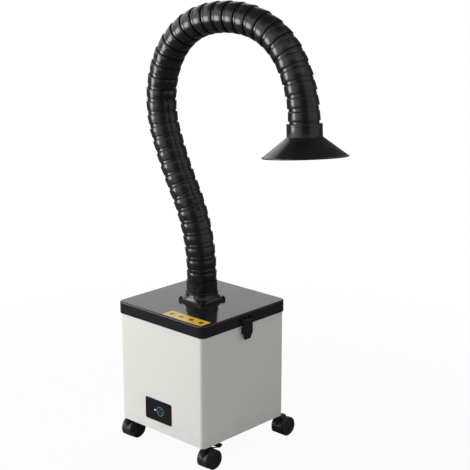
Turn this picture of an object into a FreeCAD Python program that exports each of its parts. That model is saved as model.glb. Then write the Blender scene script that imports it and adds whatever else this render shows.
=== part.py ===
import FreeCAD
import Part
import math
import operator
import os
from types import SimpleNamespace

import Sketcher
from FreeCAD import Placement, Rotation, Vector

# Welding fume extractor: a square cabinet on casters, a lid held by two latches, and a self-supporting
# arm of ball-and-socket rings that carries a hood. Millimetres. The origin is on the floor under the
# middle of the cabinet, +Z is up, the touch panel faces -Y and the arm reaches towards +X.

SIZES = {
    # fits shared by many pieces
    "run_gap": 0.05,
    "seat_gap": 0.3,
    "overrun": 1.0,
    # cabinet wrapper and base
    "caster_height": 60.0,
    "body_side": 293.2,
    "body_corner": 12.0,
    "body_wall": 1.2,
    "body_show": 284.0,
    "body_tuck": 22.0,
    "rim_return": 6.0,
    "foot_return": 16.0,
    "base_plate_thickness": 2.0,
    "base_screw_radius": 2.0,
    "base_screw_head_radius": 4.0,
    "base_screw_head_height": 2.0,
    "base_screw_length": 9.0,
    "base_screw_margin": 76.6,
    "base_screw_inset": 8.0,
    # lid, gasket and strip
    "lid_overhang": 3.4,
    "lid_corner": 16.0,
    "lid_height": 30.0,
    "lid_wall": 2.5,
    "lid_edge": 3.0,
    "strip_length": 132.0,
    "strip_width": 35.0,
    "strip_thickness": 0.3,
    "strip_corner": 2.0,
    "strip_inset": 5.0,
    "strip_right_inset": 11.0,
    # latches
    "latch_width": 30.0,
    "latch_drop": 35.5,
    "latch_thickness": 6.0,
    "latch_tip": 2.5,
    "latch_stand_off": 4.0,
    "latch_corner_cut": 5.0,
    "latch_taper_rise": 22.0,
    "latch_barrel_radius": 4.0,
    "latch_pin_radius": 1.5,
    "latch_pin_rise": 13.0,
    "latch_ear": 3.0,
    "latch_bracket_height": 14.0,
    "latch_bracket_thickness": 1.2,
    "hook_height": 4.5,
    "hook_bite": 1.0,
    "hook_gap": 1.5,
    "catch_drop": 16.0,
    "catch_lip": 2.5,
    "catch_reach": 1.8,
    "catch_plate": 1.5,
    "catch_margin": 6.0,
    "catch_width": 24.0,
    # hose flange on the lid
    "flange_side": 88.0,
    "flange_plate": 5.0,
    "flange_corner": 8.0,
    "flange_boss_radius": 5.0,
    "flange_boss_height": 8.0,
    "flare_foot_side": 85.0,
    "flare_foot_corner": 11.0,
    "flare_knee_side": 82.0,
    "flare_knee_corner": 24.0,
    "flare_knee_height": 8.5,
    "flare_waist_side": 80.0,
    "flare_waist_corner": 35.0,
    "flare_waist_height": 14.0,
    "neck_radius": 39.0,
    "neck_height": 22.0,
    "bead_radius": 41.2,
    "bead_height": 6.0,
    "spigot_radius": 36.0,
    "spigot_depth": 16.0,
    "flange_screw_pitch": 75.0,
    "flange_screw_radius": 2.0,
    "flange_screw_head_radius": 3.2,
    "flange_screw_head_height": 2.2,
    "flange_screw_length": 12.0,
    # arm rings
    "arm_turn": 6.0,
    "cuff_radius": 38.6,
    "cuff_height": 26.4,
    "first_ring_height": 51.0,
    "ring_pitch": 31.2,
    "band_radius": 37.6,
    "band_flare": 1.2,
    "band_length": 23.0,
    "band_shoulder": 2.6,
    "band_lip": 1.2,
    "groove_radius": 33.8,
    "ball_radius": 34.6,
    "ball_depth": 14.0,
    "socket_gap": 0.4,
    "hose_bore_radius": 29.0,
    # hood
    "hood_neck": 3.0,
    "hood_collar_radius": 41.5,
    "hood_collar_length": 30.4,
    "hood_cone_length": 43.6,
    "hood_rim_radius": 100.3,
    "hood_rim_height": 3.0,
    "hood_wall": 2.2,
    "hood_tilt": -2.15,
    "hood_roll": 5.25,
    # touch panel
    "panel_width": 93.0,
    "panel_height": 57.0,
    "panel_corner": 5.0,
    "panel_proud": 1.2,
    "panel_offset": -9.5,
    "panel_low": 27.0,
    "panel_border": 5.0,
    "panel_depth": 7.0,
    "ring_radius": 12.3,
    "ring_width": 1.6,
    "ring_offset": -3.0,
    "ring_depth": 0.5,
    "led_radius": 2.0,
    "led_offset": -21.0,
    "mark_height": 56.0,
    "board_thickness": 1.6,
    "board_margin": 3.0,
    # filters
    "filter_clearance": 1.6,
    "filter_corner": 5.0,
    "filter_headroom": 18.0,
    "middle_filter_height": 30.0,
    "pre_filter_height": 20.0,
    "filter_frame": 12.0,
    "filter_recess": 4.0,
    "pleat_count": 24.0,
    "pleat_width": 5.0,
    # blower
    "deck_height": 114.0,
    "deck_thickness": 2.0,
    "deck_intake_radius": 48.0,
    "rail_side": 12.0,
    "rail_wall": 1.5,
    "rail_margin": 25.4,
    "scroll_radius": 84.0,
    "scroll_growth": 8.0,
    "scroll_wall": 2.0,
    "scroll_height": 62.0,
    "outlet_width": 74.0,
    "motor_radius": 42.0,
    "motor_height": 40.0,
    "motor_edge": 4.0,
    "shaft_radius": 4.0,
    "shaft_in_motor": 36.0,
    "impeller_radius": 72.0,
    "impeller_eye_radius": 45.0,
    "impeller_plate": 2.5,
    "impeller_lift": 4.0,
    "impeller_drop": 6.0,
    "hub_radius": 11.0,
    "hub_height": 22.0,
    "blade_count": 11.0,
    "blade_thickness": 2.0,
    "blade_lag": 26.0,
    # back of the cabinet
    "grille_border": 8.0,
    "grille_thickness": 2.0,
    "grille_corner": 5.0,
    "grille_slot_width": 5.0,
    "grille_slot_count": 7.0,
    "inlet_margin": 51.6,
    "inlet_rise": 38.0,
    "inlet_width": 27.5,
    "inlet_height": 20.0,
    "inlet_depth": 20.0,
    "inlet_flange": 3.0,
    "inlet_flange_thickness": 2.5,
    "inlet_corner": 3.0,
    "inlet_wall": 1.5,
    "inlet_socket_depth": 16.0,
    "contact_width": 2.0,
    "contact_height": 4.0,
    "contact_spread": 7.0,
    "contact_drop": 2.0,
    "contact_length": 13.0,
    # casters
    "caster_inset": 9.6,
    "caster_width": 39.0,
    "caster_trail": 22.0,
    "wheel_radius": 25.0,
    "wheel_width": 13.0,
    "wheel_edge": 2.5,
    "wheel_dish_radius": 18.0,
    "wheel_dish_depth": 1.2,
    "wheel_cap_radius": 6.0,
    "wheel_gap": 1.3,
    "axle_radius": 3.0,
    "axle_length": 32.0,
    "web_width": 12.0,
    "web_radius": 21.0,
    "cowl_radius": 29.0,
    "cowl_width": 33.0,
    "cowl_back": 15.0,
    "cowl_low": 11.0,
    "cowl_edge": 2.0,
    "notch_width": 26.0,
    "notch_low": 33.0,
    "notch_rise": 14.0,
    "notch_depth": 13.0,
    "stem_boss_radius": 6.0,
    "stem_radius": 3.5,
    "stem_reach": 28.0,
    "stem_shoulder_radius": 7.5,
    "stem_shoulder_height": 2.3,
    "stem_thread_radius": 4.0,
    "stem_thread_length": 11.0,
    "nut_flats": 13.0,
    "nut_height": 6.0,
    "lug_back": 24.5,
    "brake_pin_radius": 1.5,
    "brake_pin_offset": 21.0,
    "brake_pin_height": 53.4,
    "brake_arm_width": 3.0,
    "brake_arm_half_height": 2.1,
    "brake_knee": 32.0,
    "brake_tab_start": 46.0,
    "brake_tab_end": 57.5,
    "brake_tab_width": 22.0,
    "brake_tab_thickness": 2.4,
    "brake_tab_corner": 4.0,
    "brake_tab_fall": 4.3,
    "brake_tab_rise": 4.0,
}

# The arm as it stands: how many rings in a row share one tilt against the ring before, in degrees.
ARM_BENDS = (
    ("foot", 1, 0.0),
    ("lean", 7, -3.95),
    ("leg", 5, 1.95),
    ("rise", 6, 7.4),
    ("arch_start", 5, 9.55),
    ("crown", 4, 6.5),
    ("arch_end", 5, 10.0),
    ("fall", 4, 6.35),
)

# The rings that each moving length of the arm holds, from the flange to the hood.
ARM_SPANS = (
    ("arm_base", 5),
    ("arm_leg_lower", 6),
    ("arm_leg_upper", 6),
    ("arm_rise", 6),
    ("arm_crown", 5),
    ("arm_bend", 5),
    ("arm_fall", 4),
)

OPERATIONS = {"+": operator.add, "-": operator.sub, "*": operator.mul, "/": operator.truediv}


class Size:
    """A number together with the spreadsheet expression that gives it."""

    def __init__(self, value, text):
        self.value = float(value)
        self.text = text

    def mixed(self, other, sign, swapped=False):
        other = as_size(other)
        first, second = (other, self) if swapped else (self, other)
        value = OPERATIONS[sign](first.value, second.value)
        return Size(value, f"({first.text} {sign} {second.text})")

    def __add__(self, other):
        return self.mixed(other, "+")

    def __radd__(self, other):
        return self.mixed(other, "+", True)

    def __sub__(self, other):
        return self.mixed(other, "-")

    def __rsub__(self, other):
        return self.mixed(other, "-", True)

    def __mul__(self, other):
        return self.mixed(other, "*")

    def __rmul__(self, other):
        return self.mixed(other, "*", True)

    def __truediv__(self, other):
        return self.mixed(other, "/")

    def __neg__(self):
        return self.mixed(0, "-", True)


def as_size(thing):
    return thing if isinstance(thing, Size) else Size(thing, repr(float(thing)))


# document and spreadsheet
doc = FreeCAD.newDocument("fume_extractor")
sheet = doc.addObject("Spreadsheet::Sheet", "Sizes")
for row, (alias, number) in enumerate(SIZES.items(), start=1):
    sheet.set(f"A{row}", alias)
    sheet.set(f"B{row}", str(number))
    sheet.setAlias(f"B{row}", alias)
doc.recompute()
dim = SimpleNamespace(**{alias: Size(number, f"Sizes.{alias}") for alias, number in SIZES.items()})

ORIGIN = (as_size(0), as_size(0), as_size(0))
TURN_TO_AXIS = {
    "Z": Rotation(),
    "X": Rotation(Vector(0, 0, 1), Vector(1, 0, 0)),
    "Y": Rotation(Vector(0, 0, 1), Vector(0, 1, 0)),
}
HALF_TURN = Rotation(Vector(0, 0, 1), 180)
NUT_TURN = Rotation(Vector(0, 0, 1), 15)
NEAR = 1e-4
SLOT_ROUND_SHARE = 0.49
NECK_ROUND_SHARE = 0.99
BEAD_EDGE_SHARE = 0.3
nodes = {}


# places, primitives and booleans
def place(item, spot, rotation=None):
    item.Placement = Placement(Vector(*[size.value for size in map(as_size, spot)]), rotation or Rotation())
    for letter, size in zip("xyz", map(as_size, spot)):
        item.setExpression(f".Placement.Base.{letter}", size.text)
    return item


def bound(item, **sizes):
    for name, size in sizes.items():
        item.setExpression(name, as_size(size).text)
    return item


def block(name, size, spot):
    """A box from its size, the middle of its base in X and Y, and its lowest Z."""
    item = bound(doc.addObject("Part::Box", name), Length=size[0], Width=size[1], Height=size[2])
    return place(item, (spot[0] - size[0] / 2, spot[1] - size[1] / 2, spot[2]))


def rod(name, radius, length, spot, axis="Z"):
    item = bound(doc.addObject("Part::Cylinder", name), Radius=radius, Height=length)
    return place(item, spot, TURN_TO_AXIS[axis])


def joined(name, *items):
    whole = doc.addObject("Part::MultiFuse", name)
    whole.Shapes = list(items)
    whole.Refine = True
    return whole


def less(name, base, *tools):
    item = doc.addObject("Part::Cut", name)
    item.Base = base
    item.Tool = tools[0] if len(tools) == 1 else joined(f"{name}_tools", *tools)
    return item


def together(name, items):
    group = doc.addObject("Part::Compound", name)
    group.Links = list(items)
    return group


def node(name, item):
    item.Label = name
    nodes[name] = item
    return item


def fixed_shape(name, shape):
    item = doc.addObject("Part::Feature", name)
    item.Shape = shape
    return item


# bodies and their sketches
def new_body(name, spot=ORIGIN, rotation=None):
    return place(doc.addObject("PartDesign::Body", name), spot, rotation)


def sketch(body, plane, offset=0):
    """A sketch on one of the body's own planes. XZ looks along +Y, so its offset runs towards -Y."""
    item = body.newObject("Sketcher::SketchObject", f"{body.Name}_sketch")
    support = next(feature for feature in body.Origin.OriginFeatures if feature.Role == f"{plane}_Plane")
    item.AttachmentSupport = [(support, "")]
    item.MapMode = "FlatFace"
    item.setExpression(".AttachmentOffset.Base.z", as_size(offset).text)
    return item


def pin(drawing, geometry, point, x, y):
    """Ties one point of the drawing to its place, measured from the sketch's origin."""
    for kind, axis, size in (("DistanceX", -2, as_size(x)), ("DistanceY", -1, as_size(y))):
        if size.value == 0:
            drawing.addConstraint(Sketcher.Constraint("PointOnObject", geometry, point, axis))
            continue
        ends = (-1, 1, geometry, point) if size.value > 0 else (geometry, point, -1, 1)
        measure = size if size.value > 0 else -size
        index = drawing.addConstraint(Sketcher.Constraint(kind, *ends, measure.value))
        drawing.setExpression(f"Constraints[{index}]", measure.text)


def circle(drawing, radius, x=0, y=0):
    centre = Vector(as_size(x).value, as_size(y).value, 0)
    index = drawing.addGeometry(Part.Circle(centre, Vector(0, 0, 1), radius.value), False)
    pin(drawing, index, 3, x, y)
    ring = drawing.addConstraint(Sketcher.Constraint("Radius", index, radius.value))
    drawing.setExpression(f"Constraints[{ring}]", radius.text)
    return drawing


def polygon(drawing, points):
    spots = [(as_size(x), as_size(y)) for x, y in points]
    corners = [Vector(x.value, y.value, 0) for x, y in spots]
    first = drawing.GeometryCount
    for start, end in zip(corners, corners[1:] + corners[:1]):
        drawing.addGeometry(Part.LineSegment(start, end), False)
    for number, (x, y) in enumerate(spots):
        line = first + number
        following = first + (number + 1) % len(spots)
        drawing.addConstraint(Sketcher.Constraint("Coincident", line, 2, following, 1))
        pin(drawing, line, 1, x, y)
    return drawing


def rounded(drawing, width, height, corner, x=0, y=0):
    """A rectangle about (x, y) with round corners, drawn as four arcs joined by tangent lines."""
    reach_x = width / 2 - corner
    reach_y = height / 2 - corner
    centres = [(x + sx * reach_x, y + sy * reach_y) for sx, sy in ((1, 1), (-1, 1), (-1, -1), (1, -1))]
    first = drawing.GeometryCount
    for number, (cx, cy) in enumerate(centres):
        round_corner = Part.Circle(Vector(cx.value, cy.value, 0), Vector(0, 0, 1), corner.value)
        start = number * math.pi / 2
        drawing.addGeometry(Part.ArcOfCircle(round_corner, start, start + math.pi / 2), False)
    arcs = list(drawing.Geometry)[first : first + 4]
    for number in range(4):
        following = arcs[(number + 1) % 4]
        drawing.addGeometry(Part.LineSegment(arcs[number].EndPoint, following.StartPoint), False)
    for number, (cx, cy) in enumerate(centres):
        arc, line = first + number, first + 4 + number
        following = first + (number + 1) % 4
        pin(drawing, arc, 3, cx, cy)
        drawing.addConstraint(Sketcher.Constraint("Tangent", arc, 2, line, 1))
        drawing.addConstraint(Sketcher.Constraint("Tangent", line, 2, following, 1))
        if number:
            drawing.addConstraint(Sketcher.Constraint("Equal", first, arc))
    radius = drawing.addConstraint(Sketcher.Constraint("Radius", first, corner.value))
    drawing.setExpression(f"Constraints[{radius}]", corner.text)
    return drawing


def feature(body, kind, drawing, **sizes):
    item = body.newObject(f"PartDesign::{kind}", f"{body.Name}_{kind}")
    item.Profile = drawing
    return bound(item, **sizes)


def pad(body, drawing, length):
    return feature(body, "Pad", drawing, Length=length)


def pocket(body, drawing, length, along_normal=False):
    item = feature(body, "Pocket", drawing, Length=length)
    item.Reversed = along_normal
    return item


def revolve(body, drawing, axis, kind="Revolution"):
    item = feature(body, kind, drawing)
    item.ReferenceAxis = (drawing, [axis])
    item.Angle = 360
    return item


def soften(body, radius, wanted):
    """Rounds the edges of the body's newest feature that the test picks out."""
    doc.recompute()
    base = body.Tip
    edges = [f"Edge{number}" for number, edge in enumerate(base.Shape.Edges, start=1) if wanted(edge)]
    item = body.newObject("PartDesign::Fillet", f"{body.Name}_Fillet")
    item.Base = (base, edges)
    return bound(item, Radius=radius)


def flat_at(edge, height):
    return all(abs(vertex.Z - height) < NEAR for vertex in edge.Vertexes)


def upright(edge):
    ends = [vertex.Point for vertex in edge.Vertexes]
    return len(ends) == 2 and (ends[1] - ends[0]).normalize().getAngle(Vector(0, 0, 1)) % math.pi < NEAR


# levels that several pieces meet at
body_base = dim.caster_height
body_rise = dim.body_show + dim.body_tuck
body_top = body_base + body_rise
body_half = dim.body_side / 2
body_inner = dim.body_side - 2 * dim.body_wall
inner_half = body_inner / 2
inner_corner = dim.body_corner - dim.body_wall
plate_base = body_base + dim.body_wall
plate_top = plate_base + dim.base_plate_thickness
lid_base = body_base + dim.body_show
lid_top = lid_base + dim.lid_height
lid_side = dim.body_side + 2 * dim.lid_overhang
lid_half = lid_side / 2
lid_ceiling = lid_top - dim.lid_wall
deck_base = body_base + dim.deck_height
deck_top = deck_base + dim.deck_thickness
middle_filter_top = lid_base - dim.filter_headroom - dim.pre_filter_height
main_filter_top = middle_filter_top - dim.middle_filter_height
main_filter_height = main_filter_top - deck_top
filter_side = dim.body_side - 2 * (dim.rim_return + dim.filter_clearance)
rail_length = body_inner - 2 * dim.rail_margin
inlet_middle = body_half - dim.inlet_margin
caster_reach = body_half - dim.caster_inset
CORNERS = ((1, -1), (-1, -1), (1, 1), (-1, 1))
CORNER_NAMES = ("front_right", "front_left", "rear_right", "rear_left")


def base_screw_places():
    edge = body_half - dim.base_screw_inset
    spread = body_half - dim.base_screw_margin
    for side in (-1, 1):
        for along in (-1, 1):
            yield along * spread, side * edge
            yield side * edge, along * spread


def caster_places():
    return [(sx * caster_reach, sy * caster_reach) for sx, sy in CORNERS]


# cabinet: sheet wrapper with returns at rim and foot, and windows for what passes through it
panel_middle = dim.panel_low + dim.panel_height / 2
window_width = dim.panel_width - 2 * dim.panel_border
window_height = dim.panel_height - 2 * dim.panel_border
scroll_base = deck_base - dim.scroll_height
scroll_end = dim.scroll_radius + 3 * dim.scroll_growth
outlet_left = -scroll_end
outlet_right = outlet_left + dim.outlet_width
outlet_middle = (outlet_left + outlet_right) / 2
outlet_height = dim.scroll_height - dim.scroll_wall
outlet_level = deck_base - outlet_height / 2
back_start = -(inner_half - dim.overrun)
through_wall = dim.body_wall + 2 * dim.overrun


def cabinet_shell():
    body = new_body("cabinet_shell", (0, 0, body_base))
    pad(body, rounded(sketch(body, "XY"), dim.body_side, dim.body_side, dim.body_corner), body_rise)
    hollow = rounded(sketch(body, "XY", dim.body_wall), body_inner, body_inner, inner_corner)
    pocket(body, hollow, body_rise - 2 * dim.body_wall, True)
    for level, width in ((body_rise, dim.rim_return), (dim.body_wall, dim.foot_return)):
        mouth = dim.body_side - 2 * width
        opening = rounded(sketch(body, "XY", level), mouth, mouth, inner_corner)
        pocket(body, opening, dim.body_wall)
    holes = sketch(body, "XY", dim.body_wall)
    for x, y in base_screw_places():
        circle(holes, dim.base_screw_radius + dim.run_gap, x, y)
    for x, y in caster_places():
        circle(holes, dim.stem_thread_radius + dim.run_gap, x, y)
    pocket(body, holes, dim.body_wall)
    window = rounded(
        sketch(body, "XZ", body_half + dim.overrun),
        window_width,
        window_height,
        dim.panel_corner,
        dim.panel_offset,
        panel_middle,
    )
    pocket(body, window, through_wall)
    vent = rounded(
        sketch(body, "XZ", back_start),
        dim.outlet_width,
        outlet_height,
        dim.grille_corner,
        outlet_middle,
        outlet_level - body_base,
    )
    pocket(body, vent, through_wall)
    socket = rounded(
        sketch(body, "XZ", back_start),
        dim.inlet_width + 2 * dim.run_gap,
        dim.inlet_height + 2 * dim.run_gap,
        dim.inlet_corner,
        inlet_middle,
        dim.inlet_rise,
    )
    pocket(body, socket, through_wall)
    return body


def base_plate():
    body = new_body("base_plate", (0, 0, plate_base))
    side = body_inner - 2 * dim.seat_gap
    pad(body, rounded(sketch(body, "XY"), side, side, inner_corner), dim.base_plate_thickness)
    holes = sketch(body, "XY", dim.base_plate_thickness)
    for x, y in base_screw_places():
        circle(holes, dim.base_screw_radius + dim.run_gap, x, y)
    for x, y in caster_places():
        circle(holes, dim.stem_thread_radius + dim.run_gap, x, y)
    pocket(body, holes, dim.base_plate_thickness)
    return body


def screw(name, radius, length, head_radius, head_height, spot, up):
    """A plain screw whose head sits on the given spot and whose shank runs up or down from it."""
    x, y, seat = spot
    head_base = seat - head_height if up else seat
    shank_base = seat if up else seat - length
    head = rod(f"{name}_head", head_radius, head_height, (x, y, head_base))
    shank = rod(f"{name}_shank", radius, length, (x, y, shank_base))
    return joined(name, head, shank)


def base_screws():
    return together(
        "base_screws",
        [
            screw(
                f"base_screw_{number}",
                dim.base_screw_radius,
                dim.base_screw_length,
                dim.base_screw_head_radius,
                dim.base_screw_head_height,
                (x, y, body_base),
                True,
            )
            for number, (x, y) in enumerate(base_screw_places())
        ],
    )


def lid_gasket():
    body = new_body("lid_gasket", (0, 0, body_top))
    mouth = dim.body_side - 2 * dim.rim_return
    ring = rounded(sketch(body, "XY"), dim.body_side, dim.body_side, dim.body_corner)
    rounded(ring, mouth, mouth, inner_corner)
    pad(body, ring, lid_ceiling - body_top)
    return body


# touch panel, its lit ring and status light, and the board behind it
panel_face = -(body_half + dim.panel_proud)
mark_level = body_base + dim.mark_height


def control_panel():
    body = new_body("control_panel", (0, 0, body_base))
    face = rounded(
        sketch(body, "XZ", body_half),
        dim.panel_width,
        dim.panel_height,
        dim.panel_corner,
        dim.panel_offset,
        panel_middle,
    )
    pad(body, face, dim.panel_proud)
    front = panel_face.value + NEAR
    soften(body, dim.panel_proud / 2, lambda edge: all(vertex.Y < front for vertex in edge.Vertexes))
    back = rounded(
        sketch(body, "XZ", body_half - dim.panel_depth),
        window_width - 2 * dim.run_gap,
        window_height - 2 * dim.run_gap,
        dim.panel_corner,
        dim.panel_offset,
        panel_middle,
    )
    pad(body, back, dim.panel_depth)
    groove = sketch(body, "XZ", -panel_face)
    circle(groove, dim.ring_radius + dim.run_gap, dim.ring_offset, dim.mark_height)
    circle(groove, dim.ring_radius - dim.ring_width - dim.run_gap, dim.ring_offset, dim.mark_height)
    circle(groove, dim.led_radius + dim.run_gap, dim.led_offset, dim.mark_height)
    pocket(body, groove, dim.ring_depth)
    return body


def touch_ring():
    body = new_body("touch_ring", (0, 0, body_base))
    ring = sketch(body, "XZ", -panel_face - dim.ring_depth)
    for radius in (dim.ring_radius, dim.ring_radius - dim.ring_width):
        circle(ring, radius, dim.ring_offset, dim.mark_height)
    pad(body, ring, dim.ring_depth)
    return body


def status_light():
    spot = (dim.led_offset, panel_face, mark_level)
    return rod("status_light", dim.led_radius, dim.ring_depth, spot, "Y")


def control_board():
    margin = 2 * dim.board_margin
    size = (window_width - margin, dim.board_thickness, window_height - margin)
    depth = -body_half + dim.panel_depth + dim.board_thickness / 2
    low = body_base + panel_middle - size[2] / 2
    return block("control_board", size, (dim.panel_offset, depth, low))


# blower: deck on two rails, scroll housing under it, motor below, impeller inside
def deck_rails():
    rails = []
    for side, name in ((-1, "left"), (1, "right")):
        wall_middle = side * (inner_half - dim.rail_wall / 2)
        shelf_middle = side * (inner_half - dim.rail_side / 2)
        upright_leg = block(
            f"rail_leg_{name}",
            (dim.rail_wall, rail_length, dim.rail_side),
            (wall_middle, as_size(0), deck_base - dim.rail_side),
        )
        shelf = block(
            f"rail_shelf_{name}",
            (dim.rail_side, rail_length, dim.rail_wall),
            (shelf_middle, as_size(0), deck_base - dim.rail_wall),
        )
        rails.append(joined(f"rail_{name}", upright_leg, shelf))
    return together("deck_rails", rails)


def blower_deck():
    body = new_body("blower_deck", (0, 0, deck_base))
    side = body_inner - 2 * dim.seat_gap
    plate = rounded(sketch(body, "XY"), side, side, inner_corner)
    circle(plate, dim.deck_intake_radius)
    pad(body, plate, dim.deck_thickness)
    return body


def scroll_outline(margin):
    """The spiral wall as three tangent arcs, each wider than the last, running out along +Y."""
    radius = dim.scroll_radius.value + margin
    growth = dim.scroll_growth.value
    left = outlet_left.value - margin
    right = outlet_right.value + margin
    end = inner_half.value - dim.seat_gap.value
    tongue = Vector(right, math.sqrt(radius**2 - right**2), 0)
    edges, centre, start, heading = [], Vector(0, 0, 0), tongue, 0.0
    for turn in range(3):
        reach = radius + turn * growth
        finish = centre + Vector(math.cos(heading), math.sin(heading), 0) * reach
        angle = math.atan2(start.y - centre.y, start.x - centre.x)
        span = (angle - heading) % (2 * math.pi)
        halfway = heading + span / 2
        middle = centre + Vector(math.cos(halfway), math.sin(halfway), 0) * reach
        edges.append(Part.Arc(start, middle, finish).toShape())
        step = Vector(math.cos(heading), math.sin(heading), 0) * growth
        centre, start, heading = centre - step, finish, heading - math.pi / 2
    corners = [start, Vector(left, end, 0), Vector(right, end, 0), tongue]
    edges += [Part.makeLine(a, b) for a, b in zip(corners, corners[1:])]
    return Part.Face(Part.Wire(edges))


def blower_housing():
    wall = dim.scroll_wall.value
    height = dim.scroll_height.value
    shell = scroll_outline(wall).extrude(Vector(0, 0, height))
    room = scroll_outline(0).extrude(Vector(0, 0, height))
    room.translate(Vector(0, 0, wall))
    shaft_hole = Part.makeCylinder(dim.shaft_radius.value + dim.seat_gap.value, height)
    item = fixed_shape("blower_housing", shell.cut(room).cut(shaft_hole))
    return place(item, (0, 0, scroll_base))


def motor():
    body = new_body("motor", (0, 0, scroll_base - dim.motor_height))
    pad(body, circle(sketch(body, "XY"), dim.motor_radius), dim.motor_height)
    soften(body, dim.motor_edge, lambda edge: flat_at(edge, 0))
    bore = circle(sketch(body, "XY", dim.motor_height), dim.shaft_radius + dim.run_gap)
    pocket(body, bore, dim.shaft_in_motor + dim.seat_gap)
    return body


impeller_base = scroll_base + dim.scroll_wall + dim.impeller_lift
impeller_height = dim.scroll_height - dim.scroll_wall - dim.impeller_lift - dim.impeller_drop
hub_top = impeller_base + dim.hub_height


def motor_shaft():
    length = dim.shaft_in_motor + dim.scroll_wall + dim.impeller_lift + dim.hub_height
    return rod("motor_shaft", dim.shaft_radius, length, (0, 0, hub_top - length))


def impeller():
    body = new_body("impeller", (0, 0, impeller_base))
    bore = dim.shaft_radius + dim.run_gap
    hub = polygon(
        sketch(body, "XZ"),
        (
            (bore, 0),
            (dim.impeller_radius, 0),
            (dim.impeller_radius, dim.impeller_plate),
            (dim.hub_radius, dim.impeller_plate),
            (dim.hub_radius, dim.hub_height),
            (bore, dim.hub_height),
        ),
    )
    revolve(body, hub, "V_Axis")
    lag = math.radians(dim.blade_lag.value)
    tip_shares = (math.cos(lag), math.sin(lag))
    root = dim.impeller_eye_radius + dim.blade_thickness
    reach = dim.impeller_radius - dim.blade_thickness
    blade_sketch = polygon(
        sketch(body, "XY", dim.impeller_plate),
        (
            (root, dim.blade_thickness / 2),
            (root, -dim.blade_thickness / 2),
            (reach * tip_shares[0], -reach * tip_shares[1] - dim.blade_thickness / 2),
            (reach * tip_shares[0], -reach * tip_shares[1] + dim.blade_thickness / 2),
        ),
    )
    blade = pad(body, blade_sketch, impeller_height - 2 * dim.impeller_plate)
    doc.recompute()
    ring = body.newObject("PartDesign::PolarPattern", "impeller_blades")
    ring.Originals = [blade]
    ring.Axis = (blade_sketch, ["N_Axis"])
    ring.Angle = 360
    ring.Occurrences = int(dim.blade_count.value)
    body.Tip = ring
    shroud = circle(sketch(body, "XY", impeller_height - dim.impeller_plate), dim.impeller_radius)
    circle(shroud, dim.impeller_eye_radius)
    pad(body, shroud, dim.impeller_plate)
    return body


# filters stacked on the deck
def framed_filter(name, base, height):
    """A square cartridge with a raised frame and a row of pleats across its top."""
    body = new_body(name, (0, 0, base))
    pad(body, rounded(sketch(body, "XY"), filter_side, filter_side, dim.filter_corner), height)
    inside = filter_side - 2 * dim.filter_frame
    step = inside / dim.pleat_count
    slots = sketch(body, "XY", height)
    for number in range(int(dim.pleat_count.value)):
        middle = (number + 0.5) * step - inside / 2
        low, high = middle - dim.pleat_width / 2, middle + dim.pleat_width / 2
        polygon(slots, ((low, -inside / 2), (high, -inside / 2), (high, inside / 2), (low, inside / 2)))
    pocket(body, slots, dim.filter_recess)
    return body


def pre_filter():
    body = new_body("pre_filter", (0, 0, middle_filter_top))
    outline = rounded(sketch(body, "XY"), filter_side, filter_side, dim.filter_corner)
    pad(body, outline, dim.pre_filter_height)
    soften(body, dim.filter_corner, lambda edge: flat_at(edge, dim.pre_filter_height.value))
    return body


# back of the cabinet: exhaust grille and power inlet
def exhaust_grille():
    body = new_body("exhaust_grille", (0, 0, outlet_level))
    width = dim.outlet_width + 2 * dim.grille_border
    height = outlet_height + 2 * dim.grille_border
    outer_face = -(body_half + dim.grille_thickness)
    plate = rounded(sketch(body, "XZ", outer_face), width, height, dim.grille_corner, outlet_middle)
    pad(body, plate, dim.grille_thickness)
    slots = sketch(body, "XZ", -(body_half - dim.overrun))
    step = dim.outlet_width / dim.grille_slot_count
    for number in range(int(dim.grille_slot_count.value)):
        middle = outlet_left + (number + 0.5) * step
        slot_height = outlet_height - dim.grille_border
        rounded(slots, dim.grille_slot_width, slot_height, dim.grille_slot_width * SLOT_ROUND_SHARE, middle)
    pocket(body, slots, dim.grille_thickness + 2 * dim.overrun)
    return body


inlet_level = body_base + dim.inlet_rise


def power_inlet():
    body = new_body("power_inlet", (0, 0, inlet_level))
    outer_face = -(body_half + dim.inlet_flange_thickness)
    rim = (dim.inlet_width + 2 * dim.inlet_flange, dim.inlet_height + 2 * dim.inlet_flange)
    flange = rounded(sketch(body, "XZ", outer_face), *rim, dim.inlet_corner, inlet_middle)
    pad(body, flange, dim.inlet_flange_thickness)
    case = sketch(body, "XZ", -body_half)
    rounded(case, dim.inlet_width, dim.inlet_height, dim.inlet_corner, inlet_middle)
    pad(body, case, dim.inlet_depth)
    mouth = rounded(
        sketch(body, "XZ", outer_face),
        dim.inlet_width - 2 * dim.inlet_wall,
        dim.inlet_height - 2 * dim.inlet_wall,
        dim.inlet_corner - dim.inlet_wall,
        inlet_middle,
    )
    pocket(body, mouth, dim.inlet_socket_depth, True)
    return body


def inlet_contacts():
    floor_face = body_half + dim.inlet_flange_thickness - dim.inlet_socket_depth
    middle = floor_face + dim.contact_length / 2
    size = (dim.contact_width, dim.contact_length, dim.contact_height)
    spots = ((-1, -1), (0, 1), (1, -1))
    contacts = [
        block(
            f"contact_{number}",
            size,
            (
                inlet_middle + across * dim.contact_spread,
                middle,
                inlet_level + up * dim.contact_drop - dim.contact_height / 2,
            ),
        )
        for number, (across, up) in enumerate(spots)
    ]
    return together("inlet_contacts", contacts)


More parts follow.
